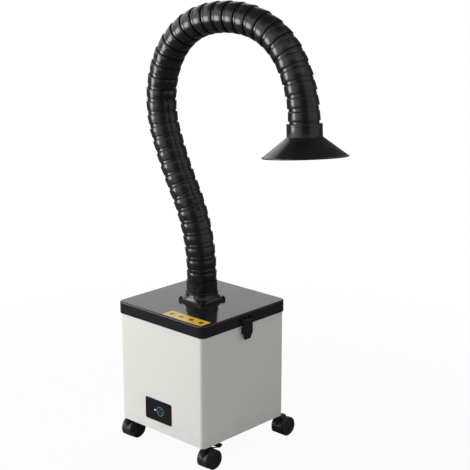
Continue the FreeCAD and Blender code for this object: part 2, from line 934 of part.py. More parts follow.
# lid, and the strip on it
def lid():
    body = new_body("lid", (0, 0, lid_base))
    pad(body, rounded(sketch(body, "XY"), lid_side, lid_side, dim.lid_corner), dim.lid_height)
    soften(body, dim.lid_edge, lambda edge: flat_at(edge, dim.lid_height.value))
    inside = lid_side - 2 * dim.lid_wall
    hollow = rounded(sketch(body, "XY"), inside, inside, dim.lid_corner - dim.lid_wall)
    pocket(body, hollow, dim.lid_height - dim.lid_wall, True)
    holes = circle(sketch(body, "XY", dim.lid_height), dim.hose_bore_radius)
    for x, y in flange_screw_places():
        circle(holes, dim.flange_screw_radius + dim.run_gap, x, y)
    pocket(body, holes, dim.lid_wall + dim.overrun)
    return body


def amber_strip():
    body = new_body("amber_strip", (0, 0, lid_top))
    middle_x = lid_half - dim.strip_right_inset - dim.strip_length / 2
    middle_y = -lid_half + dim.strip_inset + dim.strip_width / 2
    outline = sketch(body, "XY")
    rounded(outline, dim.strip_length, dim.strip_width, dim.strip_corner, middle_x, middle_y)
    pad(body, outline, dim.strip_thickness)
    return body


# latches: a flap on the lid's bracket hooks under a catch on the cabinet; the left set is turned round
pin_x = lid_half + dim.latch_bracket_thickness + dim.seat_gap + dim.latch_barrel_radius
pin_z = lid_base + dim.latch_pin_rise
pin_hole_radius = dim.latch_pin_radius + dim.run_gap
flap_inside = lid_half + dim.latch_stand_off
flap_outside = flap_inside + dim.latch_thickness
flap_low = lid_base - dim.latch_drop
flap_half = dim.latch_width / 2
catch_under = lid_base - dim.catch_drop
catch_end = lid_half + dim.catch_reach
hook_top = catch_under - dim.hook_gap
hook_end = catch_end - dim.hook_bite
ear_start = flap_half + dim.seat_gap
ear_end = ear_start + dim.latch_ear


def latch_bracket(name, rotation):
    """A plate on the skirt with an ear at each end of the pin."""
    body = new_body(name, ORIGIN, rotation)
    low = pin_z - dim.latch_bracket_height / 2
    high = pin_z + dim.latch_bracket_height / 2
    face = lid_half + dim.latch_bracket_thickness
    plate_corners = ((lid_half, low), (face, low), (face, high), (lid_half, high))
    pad(body, polygon(sketch(body, "XZ", -ear_end), plate_corners), 2 * ear_end)
    for start in (-ear_end, ear_start):
        ear = polygon(
            sketch(body, "XZ", start),
            (
                (lid_half, low),
                (face, low),
                (pin_x + dim.latch_barrel_radius, pin_z - dim.latch_barrel_radius),
                (pin_x + dim.latch_barrel_radius, pin_z + dim.latch_barrel_radius),
                (face, high),
                (lid_half, high),
            ),
        )
        pad(body, ear, dim.latch_ear)
    reach = ear_end + dim.overrun
    pocket(body, circle(sketch(body, "XZ", reach), pin_hole_radius, pin_x, pin_z), 2 * reach)
    return body


def latch_flap(name, rotation):
    body = new_body(name, ORIGIN, rotation)
    nose = hook_top - dim.hook_height
    plate = polygon(
        sketch(body, "XZ", -flap_half),
        (
            (flap_inside, pin_z),
            (flap_inside, hook_top),
            (hook_end, hook_top),
            (hook_end, hook_top - dim.hook_height / 2),
            (flap_inside, nose),
            (flap_inside, flap_low),
            (flap_inside + dim.latch_tip, flap_low),
            (flap_outside, hook_top),
            (pin_x + dim.latch_barrel_radius, pin_z),
        ),
    )
    pad(body, plate, dim.latch_width)
    barrel = circle(sketch(body, "XZ", -flap_half), dim.latch_barrel_radius, pin_x, pin_z)
    pad(body, barrel, dim.latch_width)
    beyond = flap_half + dim.overrun
    pocket(body, circle(sketch(body, "XZ", beyond), pin_hole_radius, pin_x, pin_z), 2 * beyond)
    corners = sketch(body, "YZ", hook_end - dim.overrun)
    below = flap_low - dim.overrun
    for side in (-1, 1):
        polygon(
            corners,
            (
                (side * (flap_half - dim.latch_corner_cut), below),
                (side * beyond, below),
                (side * beyond, flap_low + dim.latch_taper_rise),
            ),
        )
    pocket(body, corners, 2 * dim.latch_thickness + dim.latch_stand_off, True)
    return body


def latch_pin(name, rotation):
    body = new_body(name, ORIGIN, rotation)
    pad(body, circle(sketch(body, "XZ", -ear_end), dim.latch_pin_radius, pin_x, pin_z), 2 * ear_end)
    return body


def latch_catch(name, rotation):
    body = new_body(name, ORIGIN, rotation)
    lip_top = catch_under + dim.catch_lip
    face = body_half + dim.catch_plate
    profile = polygon(
        sketch(body, "XZ", -dim.catch_width / 2),
        (
            (body_half, catch_under - dim.catch_margin),
            (face, catch_under - dim.catch_margin),
            (face, catch_under),
            (catch_end, catch_under),
            (catch_end, lip_top),
            (face, lip_top),
            (face, lip_top + dim.catch_margin),
            (body_half, lip_top + dim.catch_margin),
        ),
    )
    pad(body, profile, dim.catch_width)
    return body


# hose flange: square plate, flare to a round neck, bead, and the seat that the arm's spigot turns in
bead_base = lid_top + dim.neck_height
bead_top = bead_base + dim.bead_height
spigot_base = bead_top - dim.spigot_depth


def flange_screw_places():
    reach = dim.flange_screw_pitch / 2
    return [(sx * reach, sy * reach) for sx, sy in CORNERS]


def hose_flange():
    body = new_body("hose_flange", (0, 0, lid_top))
    foot = rounded(sketch(body, "XY"), dim.flange_side, dim.flange_side, dim.flange_corner)
    pad(body, foot, dim.flange_plate)
    levels = (
        (dim.flange_plate, dim.flare_foot_side, dim.flare_foot_corner),
        (dim.flare_knee_height, dim.flare_knee_side, dim.flare_knee_corner),
        (dim.flare_waist_height, dim.flare_waist_side, dim.flare_waist_corner),
        (dim.neck_height, 2 * dim.neck_radius, dim.neck_radius * NECK_ROUND_SHARE),
    )
    outlines = [rounded(sketch(body, "XY", level), side, side, corner) for level, side, corner in levels]
    flare = body.newObject("PartDesign::AdditiveLoft", "hose_flange_flare")
    flare.Profile = outlines[0]
    flare.Sections = outlines[1:]
    bosses = sketch(body, "XY")
    for x, y in flange_screw_places():
        circle(bosses, dim.flange_boss_radius, x, y)
    pad(body, bosses, dim.flange_boss_height)
    pad(body, circle(sketch(body, "XY", dim.neck_height), dim.bead_radius), dim.bead_height)
    full = dim.neck_height + dim.bead_height
    soften(body, dim.bead_height * BEAD_EDGE_SHARE, lambda edge: flat_at(edge, full.value))
    holes = circle(sketch(body, "XY", full), dim.hose_bore_radius)
    for x, y in flange_screw_places():
        circle(holes, dim.flange_screw_radius + dim.run_gap, x, y)
    pocket(body, holes, full)
    seat = circle(sketch(body, "XY", full), dim.spigot_radius + dim.run_gap)
    pocket(body, seat, dim.spigot_depth)
    return body


def flange_screws():
    return together(
        "flange_screws",
        [
            screw(
                f"flange_screw_{number}",
                dim.flange_screw_radius,
                dim.flange_screw_length,
                dim.flange_screw_head_radius,
                dim.flange_screw_head_height,
                (x, y, lid_top + dim.flange_boss_height),
                False,
            )
            for number, (x, y) in enumerate(flange_screw_places())
        ],
    )


# arm: every ring is straight; the bend lies where one ring's ball sits in the band of the ring before
def aim(heading):
    """Turns +Z by the heading, from upright towards the side that the arm is swivelled to."""
    return Rotation(Vector(0, 0, 1), dim.arm_turn.value) * Rotation(Vector(0, 1, 0), heading)


def walk_rings():
    heading, spot = 0.0, Vector(0, 0, lid_top.value + dim.first_ring_height.value)
    headings, spots = [], [spot]
    for _, count, tilt in ARM_BENDS:
        for _ in range(count):
            heading += tilt
            spot = spot + aim(heading).multVec(Vector(0, 0, dim.ring_pitch.value))
            headings.append(heading)
            spots.append(spot)
    return headings, spots


ring_headings, ring_spots = walk_rings()
band_margin = (dim.ring_pitch - dim.band_length) / 2


def round_section(radius, spot, turn, along):
    """A circle about the arm's line, its seam kept in the plane of the bend."""
    wire = Part.Wire(Part.Circle(Vector(), Vector(0, 0, 1), radius.value).toShape())
    centre = spot + turn.multVec(Vector(0, 0, along.value))
    wire.Placement = Placement(centre, turn)
    return wire


def ring_sections(number, last):
    """Groove, shoulder, band and lip of one ring, from its near end to its far end."""
    far = band_margin + dim.band_length
    lip_radius = dim.band_radius - dim.band_lip if last else dim.groove_radius
    steps = (
        (dim.groove_radius, band_margin),
        (dim.band_radius - dim.band_flare, band_margin + dim.band_shoulder),
        (dim.band_radius, far - dim.band_lip),
        (lip_radius, far),
    )
    spot, turn = ring_spots[number], aim(ring_headings[number])
    return [round_section(radius, spot, turn, along) for radius, along in steps]


def ring_ball(first):
    """The spherical neck, about the joint's middle, that sits in the socket of the ring before."""
    ball = bound(doc.addObject("Part::Sphere", f"ball_{first}"), Radius=dim.ball_radius)
    low = math.degrees(math.asin(dim.ball_depth.value / dim.ball_radius.value))
    high = math.degrees(math.asin((band_margin.value + dim.overrun.value) / dim.ball_radius.value))
    ball.Angle1 = -low
    ball.Angle2 = high
    ball.Placement = Placement(ring_spots[first], aim(ring_headings[min(first, len(ring_headings) - 1)]))
    return ball


def ring_socket(joint):
    socket = doc.addObject("Part::Sphere", f"socket_{joint}")
    bound(socket, Radius=dim.ball_radius + dim.socket_gap)
    socket.Placement = Placement(ring_spots[joint], Rotation())
    return socket


def arm_bore(name, first, end):
    start = -(dim.ball_depth + dim.overrun)
    if first == 0:
        start = spigot_base - dim.overrun - lid_top - dim.first_ring_height
    radius = dim.hose_bore_radius
    sections = [round_section(radius, ring_spots[first], aim(ring_headings[first]), start)]
    for number in range(first + 1, end):
        between = (ring_headings[number - 1] + ring_headings[number]) / 2
        sections.append(round_section(radius, ring_spots[number], aim(between), as_size(0)))
    sections.append(round_section(radius, ring_spots[end], aim(ring_headings[end - 1]), dim.overrun))
    return fixed_shape(f"{name}_bore", Part.makeLoft(sections, True, True))


def arm_span(name, first, count):
    end = first + count
    sections = []
    if first == 0:
        sections.append(round_section(dim.groove_radius, ring_spots[0], aim(0), cuff_top - ring_base))
    for number in range(first, end):
        sections += ring_sections(number, number == end - 1)
    rings = fixed_shape(f"{name}_rings", Part.makeLoft(sections, True, True))
    if first == 0:
        cuff_base = bead_top + dim.seat_gap
        spigot_foot = spigot_base + dim.seat_gap
        spigot_length = cuff_base + dim.overrun - spigot_foot
        spigot = rod(f"{name}_spigot", dim.spigot_radius, spigot_length, (0, 0, spigot_foot))
        cuff = rod(f"{name}_cuff", dim.cuff_radius, cuff_top - cuff_base, (0, 0, cuff_base))
        whole = joined(f"{name}_whole", rings, spigot, cuff)
    else:
        whole = joined(f"{name}_whole", rings, ring_ball(first))
    return less(name, whole, arm_bore(name, first, end), ring_socket(end))


ring_base = lid_top + dim.first_ring_height
cuff_top = bead_top + dim.cuff_height


# hood: collar and cone turned in one piece, with a ball neck in the arm's last ring
def hood():
    tip = len(ring_headings)
    sideways = Rotation(Vector(1, 0, 0), dim.hood_roll.value)
    turn = aim(ring_headings[-1] + dim.hood_tilt.value) * sideways
    spot = ring_spots[tip]
    body = new_body("hood_cone", spot, turn)
    cone_start = dim.hood_neck + dim.hood_collar_length
    cone_end = cone_start + dim.hood_cone_length
    rim_end = cone_end + dim.hood_rim_height
    inside = dim.hood_collar_radius - dim.hood_wall
    lip = dim.hood_rim_radius - dim.hood_wall
    profile = polygon(
        sketch(body, "XZ"),
        (
            (dim.hose_bore_radius - dim.overrun, dim.hood_neck),
            (dim.hood_collar_radius, dim.hood_neck),
            (dim.hood_collar_radius, cone_start),
            (lip, cone_end),
            (dim.hood_rim_radius, cone_end),
            (dim.hood_rim_radius, rim_end),
            (lip, rim_end),
            (inside, cone_start + dim.hood_wall),
            (inside, dim.hood_neck + dim.hood_wall),
            (dim.hose_bore_radius - dim.overrun, dim.hood_neck + dim.hood_wall),
        ),
    )
    revolve(body, profile, "V_Axis")
    ball = ring_ball(tip)
    ball.Angle2 = math.degrees(math.asin((dim.hood_neck + dim.hood_wall / 2).value / dim.ball_radius.value))
    ball.Placement = Placement(spot, turn)
    whole = joined("hood_whole", body, ball)
    bore = fixed_shape(
        "hood_bore",
        Part.makeLoft(
            [
                round_section(dim.hose_bore_radius, spot, turn, -(dim.ball_depth + dim.overrun)),
                round_section(dim.hose_bore_radius, spot, turn, dim.hood_neck + 2 * dim.hood_wall),
            ],
            True,
            True,
        ),
    )
    return less("hood", whole, bore)


# casters: stem, cowl with its web, axle, two wheels, and a brake lever on the front pair
axle_level = dim.wheel_radius
arch_radius = dim.wheel_radius + dim.wheel_gap
boss_top = dim.caster_height - dim.stem_shoulder_height - dim.seat_gap
web_half = dim.web_width / 2
wheel_start = dim.caster_width / 2 - dim.wheel_width
arm_start = web_half + dim.seat_gap
arm_end = arm_start + dim.brake_arm_width


def caster_cowl(name, x, y):
    """A drum over both wheels, open below and behind, on a web that holds the axle and the stem."""
    body = new_body(name, (x, y, 0))
    half = dim.cowl_width / 2
    drum = circle(sketch(body, "YZ", -half), dim.cowl_radius, dim.caster_trail, axle_level)
    pad(body, drum, dim.cowl_width)
    soften(body, dim.cowl_edge, lambda edge: edge.Curve.TypeId == "Part::GeomCircle")
    room = half - web_half + dim.overrun
    for start in (-half - dim.overrun, web_half):
        space = circle(sketch(body, "YZ", start), arch_radius, dim.caster_trail, axle_level)
        pocket(body, space, room, True)
    below = axle_level - dim.cowl_radius - dim.overrun
    above = axle_level + dim.cowl_radius + dim.overrun
    behind = dim.caster_trail + dim.cowl_radius + dim.overrun
    away = polygon(
        sketch(body, "YZ", -half - dim.overrun),
        (
            (-dim.cowl_radius, below),
            (behind, below),
            (behind, above),
            (dim.cowl_back, above),
            (dim.cowl_back, dim.cowl_low),
            (-dim.cowl_radius, dim.cowl_low),
        ),
    )
    pocket(body, away, dim.cowl_width + 2 * dim.overrun, True)
    notch_top = dim.notch_low + dim.notch_rise
    notch = polygon(
        sketch(body, "XZ", dim.cowl_radius - dim.caster_trail + dim.overrun),
        (
            (0, dim.notch_low),
            (dim.notch_width / 2, notch_top),
            (dim.notch_width / 2, above),
            (-dim.notch_width / 2, above),
            (-dim.notch_width / 2, notch_top),
        ),
    )
    pocket(body, notch, dim.notch_depth + dim.overrun)
    web = circle(sketch(body, "YZ", -web_half), dim.web_radius, dim.caster_trail, axle_level)
    pad(body, web, dim.web_width)
    lug_top = dim.brake_pin_height + dim.brake_arm_half_height
    lug_half = dim.lug_back - dim.brake_pin_offset
    lug = polygon(
        sketch(body, "YZ", -web_half),
        (
            (0, axle_level),
            (dim.lug_back, axle_level),
            (dim.lug_back, lug_top),
            (dim.brake_pin_offset - lug_half, lug_top),
            (0, dim.notch_low),
        ),
    )
    pad(body, lug, dim.web_width)
    pad(body, circle(sketch(body, "XY", axle_level), dim.stem_boss_radius), boss_top - axle_level)
    stem_hole = circle(sketch(body, "XY", boss_top), dim.stem_radius + dim.run_gap)
    pocket(body, stem_hole, dim.stem_reach + dim.seat_gap)
    holes = sketch(body, "YZ", -web_half - dim.overrun)
    circle(holes, dim.axle_radius + dim.run_gap, dim.caster_trail, axle_level)
    circle(holes, dim.brake_pin_radius + dim.run_gap, dim.brake_pin_offset, dim.brake_pin_height)
    pocket(body, holes, dim.web_width + 2 * dim.overrun, True)
    return body


def caster_wheel(name, x, y, side):
    """One wheel, drawn for the +X side and turned round for the other."""
    body = new_body(name, (x, y + dim.caster_trail, axle_level), Rotation() if side > 0 else HALF_TURN)
    outer = wheel_start + dim.wheel_width
    bore = dim.axle_radius + dim.run_gap
    bore_end = dim.axle_length / 2 + dim.seat_gap
    profile = polygon(
        sketch(body, "XY"),
        (
            (wheel_start, bore),
            (bore_end, bore),
            (bore_end, 0),
            (outer, 0),
            (outer, dim.wheel_cap_radius),
            (outer - dim.wheel_dish_depth, dim.wheel_cap_radius + dim.wheel_dish_depth),
            (outer - dim.wheel_dish_depth, dim.wheel_dish_radius),
            (outer, dim.wheel_dish_radius + dim.wheel_dish_depth),
            (outer, dim.wheel_radius - dim.wheel_edge),
            (outer - dim.wheel_edge, dim.wheel_radius),
            (wheel_start, dim.wheel_radius),
        ),
    )
    revolve(body, profile, "H_Axis")
    return body


def caster_axle(name, x, y):
    spot = (x - dim.axle_length / 2, y + dim.caster_trail, axle_level)
    return rod(name, dim.axle_radius, dim.axle_length, spot, "X")


def caster_stems():
    stems = []
    for number, (x, y) in enumerate(caster_places()):
        shoulder_base = body_base - dim.stem_shoulder_height
        pin_length = dim.stem_reach + dim.seat_gap
        steps = (
            (dim.stem_radius, pin_length, shoulder_base - pin_length),
            (dim.stem_shoulder_radius, dim.stem_shoulder_height, shoulder_base),
            (dim.stem_thread_radius, dim.stem_thread_length, body_base),
        )
        lengths = [
            rod(f"stem_{number}_{part}", radius, length, (x, y, low))
            for part, (radius, length, low) in zip(("pin", "shoulder", "thread"), steps)
        ]
        stems.append(joined(f"stem_{number}", *lengths))
    return together("caster_stems", stems)


def caster_nuts():
    nuts = []
    for number, (x, y) in enumerate(caster_places()):
        hexagon = doc.addObject("Part::Prism", f"nut_hex_{number}")
        hexagon.Polygon = 6
        bound(hexagon, Circumradius=dim.nut_flats * (1 / math.sqrt(3)), Height=dim.nut_height)
        spot = (x, y, plate_top)
        place(hexagon, spot, NUT_TURN)
        hole = rod(f"nut_hole_{number}", dim.stem_thread_radius + dim.run_gap, dim.nut_height, spot)
        nuts.append(less(f"nut_{number}", hexagon, hole))
    return together("caster_nuts", nuts)


def brake_lever(name, x, y):
    """A fork on its own cross pin, with a wide tab behind the wheels for the toe."""
    body = new_body(name, (x, y, 0))
    low = dim.brake_pin_height - dim.brake_arm_half_height
    high = dim.brake_pin_height + dim.brake_arm_half_height
    near = dim.brake_pin_offset - dim.brake_arm_half_height
    tab_low = low - dim.brake_tab_fall
    tip_low = tab_low + dim.brake_tab_rise
    for start in (arm_start, -arm_end):
        arm = polygon(
            sketch(body, "YZ", start),
            (
                (near, low),
                (dim.brake_knee, low),
                (dim.brake_tab_start + dim.overrun, tab_low),
                (dim.brake_tab_start + dim.overrun, tab_low + dim.brake_tab_thickness),
                (dim.brake_knee, low + dim.brake_tab_thickness),
                (dim.brake_pin_offset + dim.brake_arm_half_height, high),
                (near, high),
            ),
        )
        pad(body, arm, dim.brake_arm_width)
    cross_pin = sketch(body, "YZ", -arm_end)
    circle(cross_pin, dim.brake_pin_radius, dim.brake_pin_offset, dim.brake_pin_height)
    pad(body, cross_pin, 2 * arm_end)
    tab = polygon(
        sketch(body, "YZ", -dim.brake_tab_width / 2),
        (
            (dim.brake_tab_start, tab_low),
            (dim.brake_tab_end, tip_low),
            (dim.brake_tab_end, tip_low + dim.brake_tab_thickness),
            (dim.brake_tab_start, tab_low + dim.brake_tab_thickness),
        ),
    )
    pad(body, tab, dim.brake_tab_width)
    tip = dim.brake_tab_end.value
    soften(body, dim.brake_tab_corner, lambda edge: upright(edge) and abs(edge.CenterOfMass.y - tip) < NEAR)
    return body


# every piece under its own name
SIDES = (("right", Rotation()), ("left", HALF_TURN))

node("cabinet_shell", cabinet_shell())
node("base_plate", base_plate())
node("base_screws", base_screws())
node("lid_gasket", lid_gasket())
node("control_panel", control_panel())
node("touch_ring", touch_ring())
node("status_light", status_light())
node("control_board", control_board())
node("deck_rails", deck_rails())
node("blower_deck", blower_deck())
node("blower_housing", blower_housing())
node("motor", motor())
node("motor_shaft", motor_shaft())
node("impeller", impeller())
node("main_filter", framed_filter("main_filter", deck_top, main_filter_height))
node("middle_filter", framed_filter("middle_filter", main_filter_top, dim.middle_filter_height))
node("pre_filter", pre_filter())
node("exhaust_grille", exhaust_grille())
node("power_inlet", power_inlet())
node("inlet_contacts", inlet_contacts())
node("lid", lid())
node("amber_strip", amber_strip())
LATCH_PAIRS = (("latch_brackets", latch_bracket), ("latch_pins", latch_pin), ("latch_catches", latch_catch))
for pair, make in LATCH_PAIRS:
    node(pair, together(pair, [make(f"{pair}_{side_name}", turn) for side_name, turn in SIDES]))
for side_name, turn in SIDES:
    node(f"latch_flap_{side_name}", latch_flap(f"latch_flap_{side_name}", turn))
node("hose_flange", hose_flange())
node("flange_screws", flange_screws())
first_ring = 0
for span_name, ring_count in ARM_SPANS:
    node(span_name, arm_span(span_name, first_ring, ring_count))
    first_ring += ring_count
node("hood", hood())
node("caster_stems", caster_stems())
node("caster_nuts", caster_nuts())
for corner_name, (stem_x, stem_y) in zip(CORNER_NAMES, caster_places()):
    caster = f"{corner_name}_caster"
    node(f"{caster}_cowl", caster_cowl(f"{caster}_cowl", stem_x, stem_y))
    node(f"{caster}_axle", caster_axle(f"{caster}_axle", stem_x, stem_y))
    for wheel_name, side in (("left", -1), ("right", 1)):
        wheel_node = f"{caster}_{wheel_name}_wheel"
        node(wheel_node, caster_wheel(wheel_node, stem_x, stem_y, side))
    if corner_name.startswith("front"):
        node(f"{caster}_brake", brake_lever(f"{caster}_brake", stem_x, stem_y))

doc.recompute()
faults = [item.Name for item in doc.Objects if {"Invalid", "Error"} & set(item.State)]
for name, item in nodes.items():
    if item.Shape.isNull() or not item.Shape.isValid() or not item.Shape.Solids:
        faults.append(name)
if faults:
    raise RuntimeError(f"these did not build: {faults}")

os.makedirs("parts", exist_ok=True)
for name, item in nodes.items():
    item.Shape.exportStep(f"parts/{name}.step")
    print(name, len(item.Shape.Solids), "solids", round(item.Shape.Volume), "mm3")
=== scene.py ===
import math

import bpy
from mathutils import Matrix, Vector


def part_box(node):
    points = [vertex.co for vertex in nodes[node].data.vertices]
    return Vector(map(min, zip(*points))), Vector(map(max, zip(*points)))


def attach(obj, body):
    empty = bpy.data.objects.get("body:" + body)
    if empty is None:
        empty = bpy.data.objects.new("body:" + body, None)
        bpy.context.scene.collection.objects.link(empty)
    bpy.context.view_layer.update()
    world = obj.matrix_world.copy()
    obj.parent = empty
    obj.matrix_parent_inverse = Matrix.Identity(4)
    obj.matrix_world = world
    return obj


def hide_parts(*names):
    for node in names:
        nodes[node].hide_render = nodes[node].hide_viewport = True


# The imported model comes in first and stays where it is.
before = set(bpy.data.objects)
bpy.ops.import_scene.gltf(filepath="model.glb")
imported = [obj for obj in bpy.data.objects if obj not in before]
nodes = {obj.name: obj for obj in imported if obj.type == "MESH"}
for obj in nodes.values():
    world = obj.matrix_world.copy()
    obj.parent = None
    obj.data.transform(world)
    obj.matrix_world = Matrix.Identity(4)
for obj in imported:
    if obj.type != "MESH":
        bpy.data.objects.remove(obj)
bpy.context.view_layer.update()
bpy.ops.object.select_all(action="DESELECT")
scene = bpy.context.scene
scene.view_settings.view_transform = "Standard"


# Studio: the camera stands where the photograph was taken from. A large soft lamp lights the front from the
# left, and weaker ones the right side and the back. The camera meets a white surround and floor, while glossy
# pieces mirror a dim room with a few bright patches.
class Link:
    """One output in a node tree. Sums on it add Math nodes, and node() adds any other."""

    def __init__(self, tree, socket):
        self.tree = tree
        self.socket = socket

    def node(self, kind, settings, inputs, output=0):
        made = self.tree.nodes.new(f"ShaderNode{kind}")
        for name, value in settings.items():
            setattr(made, name, value)
        for name, value in inputs.items():
            if isinstance(value, Link):
                self.tree.links.new(value.socket, made.inputs[name])
            else:
                made.inputs[name].default_value = value
        return Link(self.tree, made.outputs[output])

    def maths(self, operation, first, second):
        return self.node("Math", {"operation": operation}, {0: first, 1: second})

    def __add__(self, other):
        return self.maths("ADD", self, other)

    def __radd__(self, other):
        return self.maths("ADD", other, self)

    def __sub__(self, other):
        return self.maths("SUBTRACT", self, other)

    def __rsub__(self, other):
        return self.maths("SUBTRACT", other, self)

    def __mul__(self, other):
        return self.maths("MULTIPLY", self, other)

    def __rmul__(self, other):
        return self.maths("MULTIPLY", other, self)

    def at_least(self, other):
        return self.maths("MAXIMUM", self, other)

    def rise(self, low, high):
        """0 below low, 1 above high, and smooth between them."""
        ends = {"Value": self, "From Min": low, "From Max": high}
        return self.node("MapRange", {"interpolation_type": "SMOOTHSTEP"}, ends)

    def fall(self, low, high):
        """1 below low, 0 above high, and smooth between them."""
        return 1 - self.rise(low, high)

    def between(self, first, second):
        """A colour that goes from the first to the second as this goes from 0 to 1."""
        first, second = [tone if isinstance(tone, Link) else (*tone, 1) for tone in (first, second)]
        return self.node("Mix", {"data_type": "RGBA"}, {"Factor": self, 6: first, 7: second}, 2)

    def along(self, axis):
        return self.node("SeparateXYZ", {}, {"Vector": self}, "XYZ".index(axis))

    def towards(self, direction):
        """1 where this points the same way as the direction, and -1 where it points the other way."""
        return self.node("VectorMath", {"operation": "DOT_PRODUCT"}, {0: self, 1: direction}, 1)

    def far_from(self, spot):
        return self.node("VectorMath", {"operation": "DISTANCE"}, {0: self, 1: spot}, 1)


CAMERA_SPOT = (2.0764, -2.0893, 1.340)
CAMERA_TURN = (74.853, 0, 43.208)
CAMERA_LENS = 94.2
CAMERA_REACH = 60
bpy.ops.object.camera_add(location=CAMERA_SPOT, rotation=[math.radians(angle) for angle in CAMERA_TURN])
camera = bpy.context.object
camera.data.lens = CAMERA_LENS
camera.data.clip_end = CAMERA_REACH
scene.camera = camera

LAMPS = {
    "key_lamp": {"spot": (-2.3, -2.3, 1.35), "size": (1.2, 2.2), "power": 101, "tint": (1, 1, 1)},
    "side_lamp": {"spot": (3.0, 0.6, 1.6), "size": (1.6, 1.6), "power": 7.6, "tint": (1, 0.965, 0.93)},
    "back_lamp": {"spot": (-0.6, 2.6, 2.4), "size": (1.8, 1.8), "power": 25, "tint": (1, 1, 1)},
}
LAMP_AIM = Vector((0, 0, 0.55))
for lamp_name, lamp_facts in LAMPS.items():
    towards = LAMP_AIM - Vector(lamp_facts["spot"])
    turn = towards.to_track_quat("-Z", "Y").to_euler()
    bpy.ops.object.light_add(type="AREA", location=lamp_facts["spot"], rotation=turn)
    lamp = bpy.context.object
    lamp.name = lamp_name
    lamp.data.shape = "RECTANGLE"
    lamp.data.size, lamp.data.size_y = lamp_facts["size"]
    lamp.data.energy = lamp_facts["power"]
    lamp.data.color = lamp_facts["tint"]
    lamp.visible_glossy = False


def direct_rays(tree):
    """Two switches: 1 for rays from the camera, and 1 for rays from the camera, a mirror or a lens."""
    rays = tree.nodes.new("ShaderNodeLightPath")
    camera_ray, glossy_ray, clear_ray = [
        Link(tree, rays.outputs[f"Is {kind} Ray"]) for kind in ("Camera", "Glossy", "Transmission")
    ]
    return camera_ray, camera_ray.at_least(glossy_ray).at_least(clear_ray)


world = bpy.data.worlds.new("surround")
scene.world = world
world.use_nodes = True
sky = world.node_tree.nodes["Background"]
sky.inputs["Color"].default_value = (1, 1, 1, 1)
by_camera, direct = direct_rays(world.node_tree)
sight = Link(world.node_tree, world.node_tree.nodes.new("ShaderNodeTexCoord").outputs["Generated"])
photo_left = -camera.matrix_world.to_3x3().col[0]
photo_back = photo_left.cross((0, 0, 1))
leftwards = sight.towards(photo_left)
backwards = sight.towards(photo_back)
upwards = sight.along("Z")

# Each pair below says where a patch of the mirrored room fades in or out, leftwards, backwards or upwards.
WALL_LIGHT = 1.05
WALL_RIGHT = (-0.3, -0.12)
WALL_NEAR = (0.2, 0.4)
WALL_FOOT = (0, 0.06)
WALL_TOP = (0.52, 0.62)
back_wall = leftwards.rise(*WALL_RIGHT) * backwards.rise(*WALL_NEAR)
back_wall = back_wall * upwards.rise(*WALL_FOOT) * upwards.fall(*WALL_TOP)

SPILL_LIGHT = 1.5
SPILL_RIGHT = (0.1, 1.0)
SPILL_LEAN = 0.9
SPILL_BACK = (-0.05, 0.2)
SPILL_TOP = (0.45, 0.7)
spill_reach = backwards - SPILL_LEAN * upwards
key_spill = leftwards.rise(*SPILL_RIGHT) * spill_reach.fall(*SPILL_BACK) * upwards.fall(*SPILL_TOP)

STRIP_LIGHT = 9.0
STRIP_START = 84
STRIP_END = 106
STRIP_BLUR = 6
STRIP_TOP = (0.02, 0.14)
round_about = leftwards.maths("ARCTAN2", leftwards, backwards)
strip_in, strip_out = [
    (math.radians(edge), math.radians(edge + STRIP_BLUR)) for edge in (STRIP_START, STRIP_END)
]
key_strip = round_about.rise(*strip_in) * round_about.fall(*strip_out) * upwards.fall(*STRIP_TOP)

FILL_LIGHT = 0.5
FILL_LEFT = (-0.6, -0.3)
FILL_BACK = (0, 0.4)
right_fill = leftwards.fall(*FILL_LEFT) * backwards.fall(*FILL_BACK)

OVERHEAD_LIGHT = 0.5
OVERHEAD_BACK = (-0.5, -0.2)
OVERHEAD_FOOT = (0.4, 0.55)
OVERHEAD_TOP = (0.85, 0.95)
overhead = backwards.fall(*OVERHEAD_BACK) * upwards.rise(*OVERHEAD_FOOT) * upwards.fall(*OVERHEAD_TOP)

SURROUND_LIGHT = 0.29
ROOM_LIGHT = 0.12
mirrored_room = ROOM_LIGHT + WALL_LIGHT * back_wall + SPILL_LIGHT * key_spill + STRIP_LIGHT * key_strip
mirrored_room = mirrored_room + FILL_LIGHT * right_fill + OVERHEAD_LIGHT * overhead
backdrop = by_camera.at_least(mirrored_room)
strength = SURROUND_LIGHT + direct * (backdrop - SURROUND_LIGHT)
world.node_tree.links.new(strength.socket, sky.inputs["Strength"])


